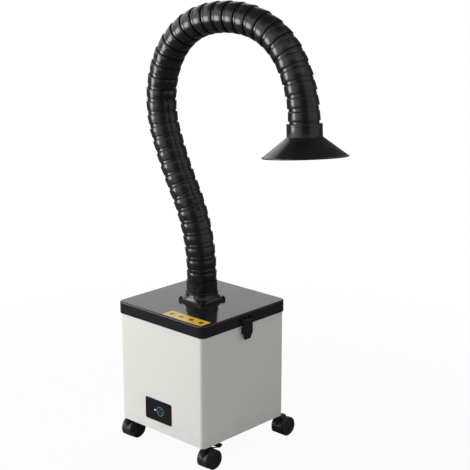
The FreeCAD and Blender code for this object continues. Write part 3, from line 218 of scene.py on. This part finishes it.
class Finish:
    """A material: its shader, and the place of each point on the piece that wears it."""

    def __init__(self, name, colour, roughness, **even_sockets):
        self.material = bpy.data.materials.new(name)
        self.material.use_nodes = True
        self.tree = self.material.node_tree
        self.shader = self.tree.nodes["Principled BSDF"]
        self.shader.inputs["Base Color"].default_value = (*colour, 1)
        self.shader.inputs["Roughness"].default_value = roughness
        for socket, value in even_sockets.items():
            self.shader.inputs[socket.replace("_", " ")].default_value = value
        self.place = Link(self.tree, self.tree.nodes.new("ShaderNodeTexCoord").outputs["Object"])

    def feed(self, socket, link):
        self.tree.links.new(link.socket, self.shader.inputs[socket])

    def noise(self, grain, detail=2.0, stretch=(1, 1, 1), edges=None):
        """Blotches, about grain of them to the metre. With edges they go from 0 to 1 between those values."""
        spread = self.place.node("Mapping", {}, {"Vector": self.place, "Scale": stretch})
        blotches = self.place.node("TexNoise", {}, {"Vector": spread, "Scale": grain, "Detail": detail})
        return blotches.rise(*edges) if edges else blotches

    def mottle(self, dark, light, **texture):
        """Lets the colour drift between two tones."""
        self.feed("Base Color", self.noise(**texture).between(dark, light))

    def glow(self, dark, light, **texture):
        """Lets the light that the piece gives off drift between two tones."""
        self.feed("Emission Color", self.noise(**texture).between(dark, light))

    def sheen(self, least, spread, **texture):
        """Lets the roughness drift upwards from its least value."""
        self.feed("Roughness", least + self.noise(**texture) * spread)

    def bump(self, height, depth, strength):
        settings = {"Height": height, "Distance": depth, "Strength": strength}
        self.feed("Normal", self.place.node("Bump", {}, settings))

    def relief(self, depth, strength, **texture):
        """Gives the surface a fine grain that light catches on."""
        self.bump(self.noise(**texture), depth, strength)

    def dress(self, *pieces):
        for piece in pieces:
            piece.data.materials.clear()
            piece.data.materials.append(self.material)


FLOOR_RADIUS = 3.1
FLOOR_SIDES = 128
FLOOR_WHITE = (0.88, 0.88, 0.88)
FLOOR_MIRRORED = (0.16, 0.16, 0.16)
FLOOR_ROUGHNESS = 0.9
SHADOW_SHARE = 0.06
SHADOW_NEAR = 0.5
SHADOW_FAR = 1.6
bpy.ops.mesh.primitive_circle_add(vertices=FLOOR_SIDES, radius=FLOOR_RADIUS, fill_type="NGON")
floor = bpy.context.object
floor.name = "studio_floor"
floor_paint = Finish("studio_floor_paint", FLOOR_WHITE, FLOOR_ROUGHNESS, Specular_IOR_Level=0.0)
floor_seen, floor_direct = direct_rays(floor_paint.tree)
floor_paint.feed("Base Color", (floor_direct - floor_seen).between(FLOOR_WHITE, FLOOR_MIRRORED))
white_light = floor_seen.node("Emission", {}, {"Color": (1, 1, 1, 1), "Strength": 1.0})
lit_paint = Link(floor_paint.tree, floor_paint.shader.outputs["BSDF"])
shadow_share = SHADOW_SHARE * floor_paint.place.far_from((0, 0, 0)).fall(SHADOW_NEAR, SHADOW_FAR)
white_share = floor_seen * (1 - shadow_share)
floor_look = floor_seen.node("MixShader", {}, {0: white_share, 1: lit_paint, 2: white_light})
floor_paint.tree.links.new(floor_look.socket, floor_paint.tree.nodes["Material Output"].inputs["Surface"])
floor_paint.dress(floor)

# Cabinet: a wrapper of bent sheet steel with returns at rim and foot, powder coated off-white. The coat has
# a fine orange peel, small differences in tone, and a little dust along the foot.
DUST_HEIGHTS = (0.06, 0.12)
DUST_TONE = (0.56, 0.54, 0.50)
DUST_COLOUR_SHARE = 0.25
DUST_ROUGHNESS = 0.12
COAT_ROUGHNESS = 0.38
COAT_ROUGHNESS_SPREAD = 0.10
PEEL_DEPTH = 0.00012
cabinet_coat = Finish("cabinet_coat", (0.74, 0.74, 0.70), 0.42)
coat_drift = cabinet_coat.noise(grain=2.6, detail=3.0, edges=(0.35, 0.65))
coat_tone = coat_drift.between((0.735, 0.735, 0.695), (0.755, 0.755, 0.72))
dust_specks = cabinet_coat.noise(grain=38, detail=4.0, edges=(0.4, 0.75))
foot_dust = cabinet_coat.place.along("Z").fall(*DUST_HEIGHTS) * dust_specks
cabinet_coat.feed("Base Color", (foot_dust * DUST_COLOUR_SHARE).between(coat_tone, DUST_TONE))
coat_roughness = COAT_ROUGHNESS + cabinet_coat.noise(grain=60) * COAT_ROUGHNESS_SPREAD
cabinet_coat.feed("Roughness", coat_roughness + foot_dust * DUST_ROUGHNESS)
cabinet_coat.relief(PEEL_DEPTH, strength=0.5, grain=620, detail=1.0)
cabinet_coat.dress(nodes["cabinet_shell"])

# Base plate, rails, deck and scroll: bare zinc-coated sheet under and inside the cabinet, with a drawn grain.
# Screws, pins, nuts, stems, axles and the motor's shaft have the same plating on turned steel.
zinc = Finish("zinc_plate", (0.55, 0.56, 0.57), 0.36, Metallic=1.0)
zinc.mottle(dark=(0.46, 0.47, 0.48), light=(0.63, 0.64, 0.65), grain=95)
zinc.sheen(least=0.26, spread=0.22, grain=240, stretch=(1, 0.06, 1))
ZINC_NODES = ("base_plate", "deck_rails", "blower_deck", "blower_housing", "base_screws")
TURNED_NODES = ("latch_pins", "caster_stems", "caster_nuts", "motor_shaft")
zinc.dress(*[nodes[name] for name in ZINC_NODES + TURNED_NODES])

# Casters: each is a moulded nylon cowl on a steel stem, with an axle through its web and a wheel on each
# side. The front pair have a brake lever behind the wheels.
CASTERS = [f"{end}_{side}_caster" for end in ("front", "rear") for side in ("right", "left")]
NYLON_GRAIN_DEPTH = 0.00008
nylon = Finish("caster_nylon", (0.020, 0.020, 0.022), 0.34, Specular_IOR_Level=0.4)
nylon.mottle(dark=(0.015, 0.015, 0.017), light=(0.026, 0.026, 0.028), grain=30, detail=3.0)
nylon.sheen(least=0.28, spread=0.16, grain=160)
nylon.relief(NYLON_GRAIN_DEPTH, strength=0.4, grain=900, detail=1.0)

TREAD_GRAIN_DEPTH = 0.0001
TREAD_ROUGHNESS = 0.45
SCUFF_ROUGHNESS = 0.25
tread = Finish("wheel_tread", (0.024, 0.024, 0.025), 0.55, Specular_IOR_Level=0.35)
scuff = tread.noise(grain=70, detail=4.0, edges=(0.45, 0.8))
tread.feed("Base Color", scuff.between((0.017, 0.017, 0.018), (0.036, 0.035, 0.034)))
tread.feed("Roughness", TREAD_ROUGHNESS + scuff * SCUFF_ROUGHNESS)
tread.relief(TREAD_GRAIN_DEPTH, strength=0.4, grain=500)

for caster in CASTERS:
    nylon.dress(nodes[f"{caster}_cowl"])
    zinc.dress(nodes[f"{caster}_axle"])
    tread.dress(nodes[f"{caster}_left_wheel"], nodes[f"{caster}_right_wheel"])
    if f"{caster}_brake" in nodes:
        nylon.dress(nodes[f"{caster}_brake"])

# Motor: it hangs under the steel scroll, painted dark grey. Its shaft carries the impeller, which has the
# plastic of the grille at the back.
MOTOR_GRAIN_DEPTH = 0.0002
motor_paint = Finish("motor_paint", (0.05, 0.05, 0.055), 0.5)
motor_paint.sheen(least=0.42, spread=0.2, grain=90, detail=3.0)
motor_paint.relief(MOTOR_GRAIN_DEPTH, strength=0.5, grain=420)
motor_paint.dress(nodes["motor"])

# Filters: two blocks of pleated white paper, stacked on the deck, with a loose fibre pad on top. The blocks
# are flat, and the light and shade of their pleats is painted on them as bands. The pad is a soft block that
# swells a little under pressure from inside.
PAPER_GRAIN_DEPTH = 0.0004
PLEATS_TO_THE_METRE = 28.0
pleats = Finish("filter_paper", (0.80, 0.80, 0.77), 0.9)
folds = {"Vector": pleats.place, "Scale": PLEATS_TO_THE_METRE}
# Painted shade: lighter and darker bands across the flat block stand for light and shade on the pleats.
painted_pleat_shade = pleats.place.node("TexWave", {"bands_direction": "X"}, folds)
pleats.feed("Base Color", painted_pleat_shade.between((0.66, 0.66, 0.63), (0.84, 0.84, 0.81)))
pleats.relief(PAPER_GRAIN_DEPTH, strength=0.5, grain=300, detail=4.0)
pleats.dress(nodes["main_filter"], nodes["middle_filter"])

STRAND_DEPTH = 0.0015
fibre = Finish("filter_fibre", (0.78, 0.80, 0.79), 0.95)
strands = fibre.noise(grain=220, detail=6.0, stretch=(1, 3, 1))
fibre.feed("Base Color", strands.between((0.62, 0.65, 0.64), (0.86, 0.87, 0.86)))
fibre.bump(strands, STRAND_DEPTH, strength=0.8)

PAD_SPREAD_SHARE = 0.975
PAD_LOFT_SHARE = 0.72
PAD_EDGE = 0.006
PAD_EDGE_STEPS = 3
PAD_GRAIN = 0.006
PAD_SWELL = 0.0045
LOFT_PRESSURE = 4
LOFT_FRAMES = 20
pad_low, pad_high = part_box("pre_filter")
bpy.ops.mesh.primitive_cube_add(size=1, location=(pad_low + pad_high) / 2)
fibre_pad = bpy.context.object
fibre_pad.name = "fibre_pad"
pad_span = pad_high - pad_low
pad_cut = (pad_span.x * PAD_SPREAD_SHARE, pad_span.y * PAD_SPREAD_SHARE, pad_span.z * PAD_LOFT_SHARE)
bpy.ops.transform.resize(value=pad_cut)
bpy.ops.object.transform_apply(location=True, rotation=True, scale=True)
bpy.ops.object.mode_set(mode="EDIT")
bpy.ops.mesh.select_all(action="SELECT")
bpy.ops.mesh.bevel(offset=PAD_EDGE, segments=PAD_EDGE_STEPS, affect="EDGES")
bpy.ops.object.mode_set(mode="OBJECT")
fibre_pad.data.remesh_voxel_size = PAD_GRAIN
bpy.ops.object.voxel_remesh()
pad_rest = [point.co.copy() for point in fibre_pad.data.vertices]
loft = fibre_pad.modifiers.new("loft", "CLOTH")
loft.settings.use_pressure = True
loft.settings.uniform_pressure_force = LOFT_PRESSURE
loft.settings.effector_weights.gravity = 0
for step in range(1, LOFT_FRAMES + 1):
    scene.frame_set(step)
swollen = fibre_pad.evaluated_get(bpy.context.evaluated_depsgraph_get()).to_mesh()
moves = [point.co - rest for point, rest in zip(swollen.vertices, pad_rest)]
fibre_pad.modifiers.clear()
scene.frame_set(1)
for point, rest, move in zip(fibre_pad.data.vertices, pad_rest, moves):
    if move.length > PAD_SWELL:
        move = move * (PAD_SWELL / move.length)
    point.co = rest + move
softer = fibre_pad.modifiers.new("softer", "SUBSURF")
softer.levels = 1
softer.render_levels = 1
bpy.ops.object.modifier_apply(modifier="softer")
bpy.ops.object.shade_smooth()
fibre.dress(fibre_pad)
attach(fibre_pad, "cabinet")
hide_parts("pre_filter")
bpy.ops.object.select_all(action="DESELECT")

# Touch panel: a dark glossy front clipped into the cabinet, with a lit ring to press and a status light.
# A plain three-bladed fan shines dimly through the panel inside the ring.
panel_gloss = Finish(
    "panel_gloss", (0.018, 0.018, 0.024), 0.14, Specular_IOR_Level=0.15, Emission_Strength=0.55
)
panel_gloss.sheen(least=0.10, spread=0.12, grain=45, detail=4.0, edges=(0.4, 0.8))
panel_gloss.mottle(dark=(0.011, 0.011, 0.015), light=(0.016, 0.016, 0.021), grain=12)

FAN_GLOW = (0.05, 0.15, 0.17)
BLADE_COUNT = 3
BLADE_SWEEP = 260
BLADE_EDGES = (0.1, 0.5)
FAN_EYE_SHARE = 0.16
FAN_REACH_SHARE = 0.66
FAN_BLUR_SHARE = 0.08
ring_low, ring_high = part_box("touch_ring")
ring_middle = (ring_low + ring_high) / 2
ring_reach = (ring_high.x - ring_low.x) / 2
fan_across = panel_gloss.place.along("X") - ring_middle.x
fan_up = panel_gloss.place.along("Z") - ring_middle.z
fan_reach = panel_gloss.place.far_from(ring_middle)
blade_turn = BLADE_COUNT * fan_up.maths("ARCTAN2", fan_up, fan_across) + BLADE_SWEEP * fan_reach
blades = blade_turn.node("Math", {"operation": "COSINE"}, {0: blade_turn}).rise(*BLADE_EDGES)
fan_eye = fan_reach.rise(FAN_EYE_SHARE * ring_reach, (FAN_EYE_SHARE + FAN_BLUR_SHARE) * ring_reach)
fan_rim = fan_reach.fall(FAN_REACH_SHARE * ring_reach, (FAN_REACH_SHARE + FAN_BLUR_SHARE) * ring_reach)
panel_gloss.feed("Emission Color", (blades * fan_eye * fan_rim).between((0, 0, 0), FAN_GLOW))
panel_gloss.dress(nodes["control_panel"])

ring_glow = Finish("ring_glow", (0.07, 0.15, 0.18), 0.3, Emission_Strength=0.5)
ring_glow.glow(dark=(0.05, 0.13, 0.15), light=(0.08, 0.18, 0.21), grain=500, detail=1.0)
ring_glow.dress(nodes["touch_ring"])

dot_glow = Finish("dot_glow", (0.8, 0.85, 0.9), 0.3, Emission_Strength=0.8)
dot_glow.glow(dark=(0.75, 0.85, 0.9), light=(0.9, 0.95, 1.0), grain=600, detail=1.0)
dot_glow.dress(nodes["status_light"])

board_green = Finish("board_green", (0.02, 0.14, 0.06), 0.4)
tracks = {"grain": 260, "detail": 1.0, "stretch": (1, 1, 0.2), "edges": (0.48, 0.52)}
board_green.mottle(dark=(0.012, 0.10, 0.045), light=(0.03, 0.19, 0.08), **tracks)
board_green.dress(nodes["control_board"])

# Back: a moulded exhaust grille over the scroll's outlet, and a mains inlet with brass contacts. The impeller
# has the same plastic. The lid's gasket is dull rubber.
BACK_GRAIN_DEPTH = 0.0001
back_plastic = Finish("back_plastic", (0.02, 0.02, 0.022), 0.45)
back_plastic.sheen(least=0.36, spread=0.2, grain=140, detail=3.0)
back_plastic.relief(BACK_GRAIN_DEPTH, strength=0.5, grain=800, detail=1.0)
back_plastic.dress(nodes["exhaust_grille"], nodes["power_inlet"], nodes["impeller"])

brass = Finish("contact_brass", (0.72, 0.53, 0.24), 0.3, Metallic=1.0)
brass.sheen(least=0.22, spread=0.2, grain=300, detail=3.0)
brass.dress(nodes["inlet_contacts"])

SEAL_GRAIN_DEPTH = 0.0003
seal = Finish("seal_rubber", (0.02, 0.02, 0.02), 0.8)
seal.relief(SEAL_GRAIN_DEPTH, strength=0.6, grain=420, detail=3.0)
seal.dress(nodes["lid_gasket"])

# Lid: a charcoal moulding with a smooth, half-glossy top that mirrors the arm's foot, and a deep skirt.
# Wiping has left it with faint smears.
LID_GRAIN_DEPTH = 0.00004
lid_plastic = Finish("lid_plastic", (0.014, 0.014, 0.015), 0.22)
lid_plastic.mottle(dark=(0.011, 0.011, 0.012), light=(0.016, 0.016, 0.017), grain=6, detail=3.0)
lid_plastic.sheen(least=0.10, spread=0.05, grain=9, detail=5.0, stretch=(1, 1.6, 1), edges=(0.35, 0.75))
lid_plastic.relief(LID_GRAIN_DEPTH, strength=0.3, grain=1100, detail=1.0)
lid_plastic.dress(nodes["lid"])

# Strip: an amber film stuck along the lid's front edge, printed with four plain dark dots. They stand where
# the photograph has small pictures.
DOT_COUNT = 4
DOT_RADIUS = 0.0065
DOT_BLUR_SHARE = 0.06
DOT_INK = (0.05, 0.035, 0.02)
amber = Finish("amber_film", (0.92, 0.55, 0.06), 0.28, Specular_IOR_Level=0.7)
strip_low, strip_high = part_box("amber_strip")
dot_pitch = (strip_high.x - strip_low.x) / DOT_COUNT
dot_edges = (DOT_RADIUS * (1 - DOT_BLUR_SHARE), DOT_RADIUS * (1 + DOT_BLUR_SHARE))
dot_y = (strip_low.y + strip_high.y) / 2
dot_mask = None
for dot_number in range(DOT_COUNT):
    dot_x = strip_low.x + (dot_number + 0.5) * dot_pitch
    dot = amber.place.far_from((dot_x, dot_y, strip_high.z)).fall(*dot_edges)
    dot_mask = dot if dot_mask is None else dot_mask.at_least(dot)
amber_tone = amber.noise(grain=20, detail=3.0).between((0.98, 0.58, 0.05), (1.0, 0.64, 0.07))
amber.feed("Base Color", dot_mask.between(amber_tone, DOT_INK))
amber.sheen(least=0.24, spread=0.08, grain=80)
amber.dress(nodes["amber_strip"])

# Latches: a moulded flap on a bracket on each side of the skirt hooks under a catch on the cabinet. All of
# them are dull black.
LATCH_GRAIN_DEPTH = 0.0001
LATCH_NODES = ("latch_brackets", "latch_catches", "latch_flap_right", "latch_flap_left")
latch_plastic = Finish("latch_plastic", (0.008, 0.008, 0.009), 0.42, Specular_IOR_Level=0.35)
latch_plastic.sheen(least=0.34, spread=0.18, grain=120, detail=3.0)
latch_plastic.relief(LATCH_GRAIN_DEPTH, strength=0.5, grain=850, detail=1.0)
latch_plastic.dress(*[nodes[name] for name in LATCH_NODES])

# Flange: the arm's foot is a square moulding that flares up to a round neck, in the same polished black as
# the rings. A domed, blackened screw with a crossed slot holds each corner.
ARM_GRAIN_DEPTH = 0.00002
arm_black = Finish("arm_black", (0.010, 0.010, 0.011), 0.22)
arm_black.mottle(dark=(0.008, 0.008, 0.009), light=(0.012, 0.012, 0.013), grain=24, detail=3.0)
arm_black.sheen(least=0.21, spread=0.03, grain=36, detail=5.0, edges=(0.4, 0.8))
arm_black.relief(ARM_GRAIN_DEPTH, strength=0.15, grain=1000)
arm_black.dress(nodes["hose_flange"])


def pick_faces(piece, wanted):
    """Leaves the piece in edit mode with only the wanted faces selected."""
    bpy.ops.object.mode_set(mode="EDIT")
    bpy.ops.mesh.select_mode(type="FACE")
    bpy.ops.mesh.select_all(action="DESELECT")
    bpy.ops.object.mode_set(mode="OBJECT")
    for face in piece.data.polygons:
        face.select = wanted(face)
    bpy.ops.object.mode_set(mode="EDIT")


def copy_of(piece, place):
    """Another one of the same piece, with its own mesh, put in its place."""
    another = piece.copy()
    another.data = piece.data.copy()
    scene.collection.objects.link(another)
    another.data.transform(place)
    return another


def joined(name, pieces):
    """One piece made of several, under a new name."""
    bpy.ops.object.select_all(action="DESELECT")
    for piece in pieces:
        piece.select_set(True)
    bpy.context.view_layer.objects.active = pieces[0]
    bpy.ops.object.join()
    whole = bpy.context.object
    whole.name = name
    bpy.ops.object.select_all(action="DESELECT")
    return whole


SCREW_SIDES = 48
SCREW_HEAD = 0.0032
SCREW_RISE = 0.0022
SCREW_SHANK = 0.0020
SCREW_DOME = 0.0015
SCREW_DOME_STEPS = 6
SCREW_CREASE = math.radians(40)
SLOT_LENGTH = 0.0038
SLOT_WIDTH = 0.0008
SLOT_DEPTH = 0.0010
SLOT_TURNS = (12, 71, 38, 55)
LEVEL_SHARE = 0.9
screws_low, screws_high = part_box("flange_screws")
screw_seat = screws_high.z - SCREW_RISE
head_middle = (0, 0, SCREW_RISE / 2)
bpy.ops.mesh.primitive_cylinder_add(
    vertices=SCREW_SIDES, radius=SCREW_HEAD, depth=SCREW_RISE, location=head_middle
)
first_screw = bpy.context.object
bpy.ops.object.transform_apply(location=True)
pick_faces(first_screw, lambda face: face.normal.z < -LEVEL_SHARE)
bpy.ops.mesh.inset(thickness=SCREW_HEAD - SCREW_SHANK)
bpy.ops.mesh.extrude_region_move(TRANSFORM_OT_translate={"value": (0, 0, screws_low.z - screw_seat)})
bpy.ops.object.mode_set(mode="OBJECT")
pick_faces(first_screw, lambda face: face.normal.z > LEVEL_SHARE)
bpy.ops.mesh.bevel(offset=SCREW_DOME, segments=SCREW_DOME_STEPS, affect="EDGES")
bpy.ops.object.mode_set(mode="OBJECT")
for slot_turn in (0, 90):
    slot_aim = (0, 0, math.radians(slot_turn))
    bpy.ops.mesh.primitive_cube_add(size=1, location=(0, 0, SCREW_RISE), rotation=slot_aim)
    slot_cutter = bpy.context.object
    bpy.ops.transform.resize(value=(SLOT_LENGTH, SLOT_WIDTH, 2 * SLOT_DEPTH), orient_type="LOCAL")
    bpy.ops.object.transform_apply(location=True, rotation=True, scale=True)
    slot_cut = first_screw.modifiers.new("slot", "BOOLEAN")
    slot_cut.operation = "DIFFERENCE"
    slot_cut.solver = "EXACT"
    slot_cut.object = slot_cutter
    bpy.context.view_layer.objects.active = first_screw
    bpy.ops.object.modifier_apply(modifier="slot")
    bpy.data.objects.remove(slot_cutter)
bpy.ops.object.select_all(action="DESELECT")
first_screw.select_set(True)
bpy.ops.object.shade_smooth_by_angle(angle=SCREW_CREASE)

screw_columns = (screws_low.x + SCREW_HEAD, screws_high.x - SCREW_HEAD)
screw_rows = (screws_low.y + SCREW_HEAD, screws_high.y - SCREW_HEAD)
screw_spots = [(x, y, screw_seat) for x in screw_columns for y in screw_rows]
screws = []
for screw_spot, slot_turn in zip(screw_spots, SLOT_TURNS):
    screw_place = Matrix.Translation(screw_spot) @ Matrix.Rotation(math.radians(slot_turn), 4, "Z")
    screws.append(copy_of(first_screw, screw_place))
bpy.data.objects.remove(first_screw)
crosshead_screws = joined("crosshead_screws", screws)
oxide = Finish("black_oxide", (0.03, 0.03, 0.032), 0.35, Metallic=0.7)
oxide.mottle(dark=(0.02, 0.02, 0.021), light=(0.05, 0.05, 0.052), grain=700, detail=3.0)
oxide.sheen(least=0.28, spread=0.2, grain=500)
oxide.dress(crosshead_screws)
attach(crosshead_screws, "lid")
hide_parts("flange_screws")

# Arm: short rings of polished black plastic snap together as balls in sockets. Each ring has a spherical
# neck, a round shoulder, a band that widens a little, and a thin sharp lip over the neck of the next.
FIRST_RING = 0.051
RING_PITCH = 0.0312
BAND_LENGTH = 0.023
BAND_RADIUS = 0.0376
BAND_FLARE = 0.0012
BALL_RADIUS = 0.0346
BALL_DEPTH = 0.0135
SOCKET_RADIUS = 0.0350
BORE_RADIUS = 0.0290
SHOULDER = 0.0030
LIP = 0.0007
LIP_FACE = 0.0355
NECK_END_SHARE = 0.7
NECK_STEPS = 4
SHOULDER_STEPS = 5
SOCKET_STEPS = 5
RING_SIDES = 96
WELD_REACH = 1e-6
ROUND_SHARE = 0.3
TURNED_CREASE = math.radians(32)


def turned(name, outline, sides):
    """A closed ring about Z: a circle extruded and scaled along its outline of (radius, height) points."""
    start_radius, start_height = outline[0]
    bpy.ops.mesh.primitive_circle_add(vertices=sides, radius=start_radius, location=(0, 0, start_height))
    piece = bpy.context.object
    piece.name = name
    bpy.ops.object.transform_apply(location=True)
    bpy.ops.object.mode_set(mode="EDIT")
    bpy.ops.mesh.select_mode(type="VERT")
    bpy.ops.mesh.select_all(action="SELECT")
    for (radius, height), (next_radius, next_height) in zip(outline, outline[1:] + outline[:1]):
        bpy.ops.mesh.extrude_region_move(TRANSFORM_OT_translate={"value": (0, 0, next_height - height)})
        share = next_radius / radius
        bpy.ops.transform.resize(value=(share, share, 1), center_override=(0, 0, next_height))
    bpy.ops.mesh.select_all(action="SELECT")
    bpy.ops.mesh.remove_doubles(threshold=WELD_REACH)
    bpy.ops.mesh.normals_make_consistent(inside=False)
    bpy.ops.object.mode_set(mode="OBJECT")
    bpy.ops.object.shade_smooth_by_angle(angle=TURNED_CREASE)
    return piece


def on_sphere(radius, centre, height):
    """The point of an outline at a height on a sphere whose centre is at another height on the axis."""
    return math.sqrt(radius**2 - (height - centre) ** 2), height


def rounded_corner(radius, height, edge, upwards_sign):
    """Three points round a corner, for an outline that goes up from it (1) or comes up to it (-1)."""
    steps = [(edge, 0), (ROUND_SHARE * edge, ROUND_SHARE * edge), (0, edge)]
    points = [(radius - inwards, height + upwards_sign * off) for inwards, off in steps]
    return points[::upwards_sign]


band_start = (RING_PITCH - BAND_LENGTH) / 2
band_end = band_start + BAND_LENGTH
neck_heights = [-BALL_DEPTH * (1 - step / NECK_STEPS) for step in range(NECK_STEPS + 1)]
ring_outline = [on_sphere(BALL_RADIUS, 0, height) for height in [*neck_heights, NECK_END_SHARE * band_start]]
shoulder_foot, _ = on_sphere(BALL_RADIUS, 0, band_start)
shoulder_reach = BAND_RADIUS - BAND_FLARE - shoulder_foot
for step in range(SHOULDER_STEPS + 1):
    swing = math.radians(90 * step / SHOULDER_STEPS)
    shoulder_height = band_start + SHOULDER * (1 - math.cos(swing))
    ring_outline.append((shoulder_foot + shoulder_reach * math.sin(swing), shoulder_height))
ring_outline.append((BAND_RADIUS - BAND_FLARE / 2, (band_start + band_end) / 2))
ring_outline += rounded_corner(BAND_RADIUS, band_end, LIP, -1)
ring_outline.append((LIP_FACE, band_end))
socket_depth = math.sqrt(SOCKET_RADIUS**2 - BORE_RADIUS**2)
for step in range(1, SOCKET_STEPS + 1):
    deep = band_start + step / SOCKET_STEPS * (socket_depth - band_start)
    ring_outline.append(on_sphere(SOCKET_RADIUS, RING_PITCH, RING_PITCH - deep))
ring_outline.append((BORE_RADIUS, -BALL_DEPTH))
first_ring = turned("arm_ring", ring_outline, RING_SIDES)

lid_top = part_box("lid")[1].z
CUFF_RADIUS = 0.0386
CUFF_EDGE = 0.0006
CUFF_LIFT = 0.0283
CUFF_HEIGHT = 0.0261
SPIGOT_RADIUS = 0.0360
cuff_low = lid_top + CUFF_LIFT
cuff_high = cuff_low + CUFF_HEIGHT
cuff_seat = lid_top + FIRST_RING - BALL_DEPTH - LIP
spigot_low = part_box("arm_base")[0].z
cuff_outline = [
    (SPIGOT_RADIUS, spigot_low),
    (SPIGOT_RADIUS, cuff_low),
    (CUFF_RADIUS - CUFF_EDGE, cuff_low),
    (CUFF_RADIUS, cuff_low + CUFF_EDGE),
    (CUFF_RADIUS, cuff_high - CUFF_EDGE),
    (CUFF_RADIUS - CUFF_EDGE, cuff_high),
    (SOCKET_RADIUS, cuff_high),
    (SOCKET_RADIUS, cuff_seat),
    (BORE_RADIUS, cuff_seat),
    (BORE_RADIUS, spigot_low),
]
cuff = turned("arm_cuff", cuff_outline, RING_SIDES)

# Along the arm, each stretch of rings has a count and the bend in degrees at each of its rings.
ARM_BENDS = ((1, 0), (7, -3.95), (5, 1.95), (6, 7.4), (5, 9.55), (4, 6.5), (5, 10), (4, 6.35))
ARM_TURN = Matrix.Rotation(math.radians(6), 4, "Z")
ARM_SPANS = {
    "arm_base": 5,
    "arm_leg_lower": 6,
    "arm_leg_upper": 6,
    "arm_rise": 6,
    "arm_crown": 5,
    "arm_bend": 5,
    "arm_fall": 4,
}
lean = 0.0
spot = Vector((0, 0, lid_top + FIRST_RING))
ring_places = []
for count, bend in ARM_BENDS:
    for _ in range(count):
        lean += math.radians(bend)
        ring_places.append(ARM_TURN @ Matrix.Translation(spot) @ Matrix.Rotation(lean, 4, "Y"))
        spot = spot + RING_PITCH * Vector((math.sin(lean), 0, math.cos(lean)))
arm_end = spot
arm_end_lean = lean

for span_name, ring_count in ARM_SPANS.items():
    rings = [cuff] if span_name == "arm_base" else []
    rings += [copy_of(first_ring, ring_place) for ring_place in ring_places[:ring_count]]
    ring_places = ring_places[ring_count:]
    span = joined(f"{span_name}_rings", rings)
    arm_black.dress(span)
    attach(span, span_name)
    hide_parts(span_name)
bpy.data.objects.remove(first_ring)

# Hood: a collar and a wide cone moulded in one, on a ball neck in the arm's last ring. The wall is thin, the
# collar has a fine groove below its edge, and the rim is a rounded bead.
HOOD_TILT = -2.15
HOOD_ROLL = 5.25
HOOD_NECK = 0.003
COLLAR_RADIUS = 0.0415
COLLAR_END = 0.0334
CONE_END = 0.077
RIM_END = 0.080
RIM_RADIUS = 0.1003
HOOD_WALL = 0.0022
HOOD_EDGE = 0.0008
GROOVE_PLACE = 0.0095
GROOVE_DEPTH = 0.0004
OUTER_STEPS = 5
INNER_STEPS = 4
HOOD_SIDES = 160
cone_length = CONE_END - COLLAR_END
cone_slope = (RIM_RADIUS - HOOD_WALL - COLLAR_RADIUS) / cone_length
hood_outline = [on_sphere(BALL_RADIUS, 0, height) for height in [*neck_heights, HOOD_NECK]]
hood_outline += rounded_corner(COLLAR_RADIUS, HOOD_NECK, HOOD_EDGE, 1)
hood_outline += [
    (COLLAR_RADIUS, GROOVE_PLACE),
    (COLLAR_RADIUS - GROOVE_DEPTH, GROOVE_PLACE + GROOVE_DEPTH),
    (COLLAR_RADIUS - GROOVE_DEPTH, GROOVE_PLACE + 2 * GROOVE_DEPTH),
    (COLLAR_RADIUS, GROOVE_PLACE + 3 * GROOVE_DEPTH),
    (COLLAR_RADIUS, COLLAR_END - HOOD_EDGE),
    (COLLAR_RADIUS + HOOD_EDGE / 2, COLLAR_END),
]
for step in range(1, OUTER_STEPS + 1):
    along_cone = step / OUTER_STEPS * cone_length
    hood_outline.append((COLLAR_RADIUS + along_cone * cone_slope, COLLAR_END + along_cone))
hood_outline += rounded_corner(RIM_RADIUS, CONE_END, HOOD_EDGE, 1)
hood_outline += rounded_corner(RIM_RADIUS, RIM_END, HOOD_EDGE, -1)
hood_outline.append((RIM_RADIUS - HOOD_WALL, RIM_END))
for step in reversed(range(INNER_STEPS)):
    along_cone = step / INNER_STEPS * cone_length
    inner_radius = COLLAR_RADIUS - HOOD_WALL + along_cone * cone_slope
    hood_outline.append((inner_radius, COLLAR_END + HOOD_WALL + along_cone))
hood_outline += [
    (COLLAR_RADIUS - HOOD_WALL, HOOD_NECK + HOOD_WALL),
    (BORE_RADIUS, HOOD_NECK + HOOD_WALL),
    (BORE_RADIUS, -BALL_DEPTH),
]
hood_shell = turned("hood_shell", hood_outline, HOOD_SIDES)
hood_lean = Matrix.Rotation(arm_end_lean + math.radians(HOOD_TILT), 4, "Y")
hood_roll = Matrix.Rotation(math.radians(HOOD_ROLL), 4, "X")
hood_shell.data.transform(ARM_TURN @ Matrix.Translation(arm_end) @ hood_lean @ hood_roll)
arm_black.dress(hood_shell)
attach(hood_shell, "hood")
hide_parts("hood")
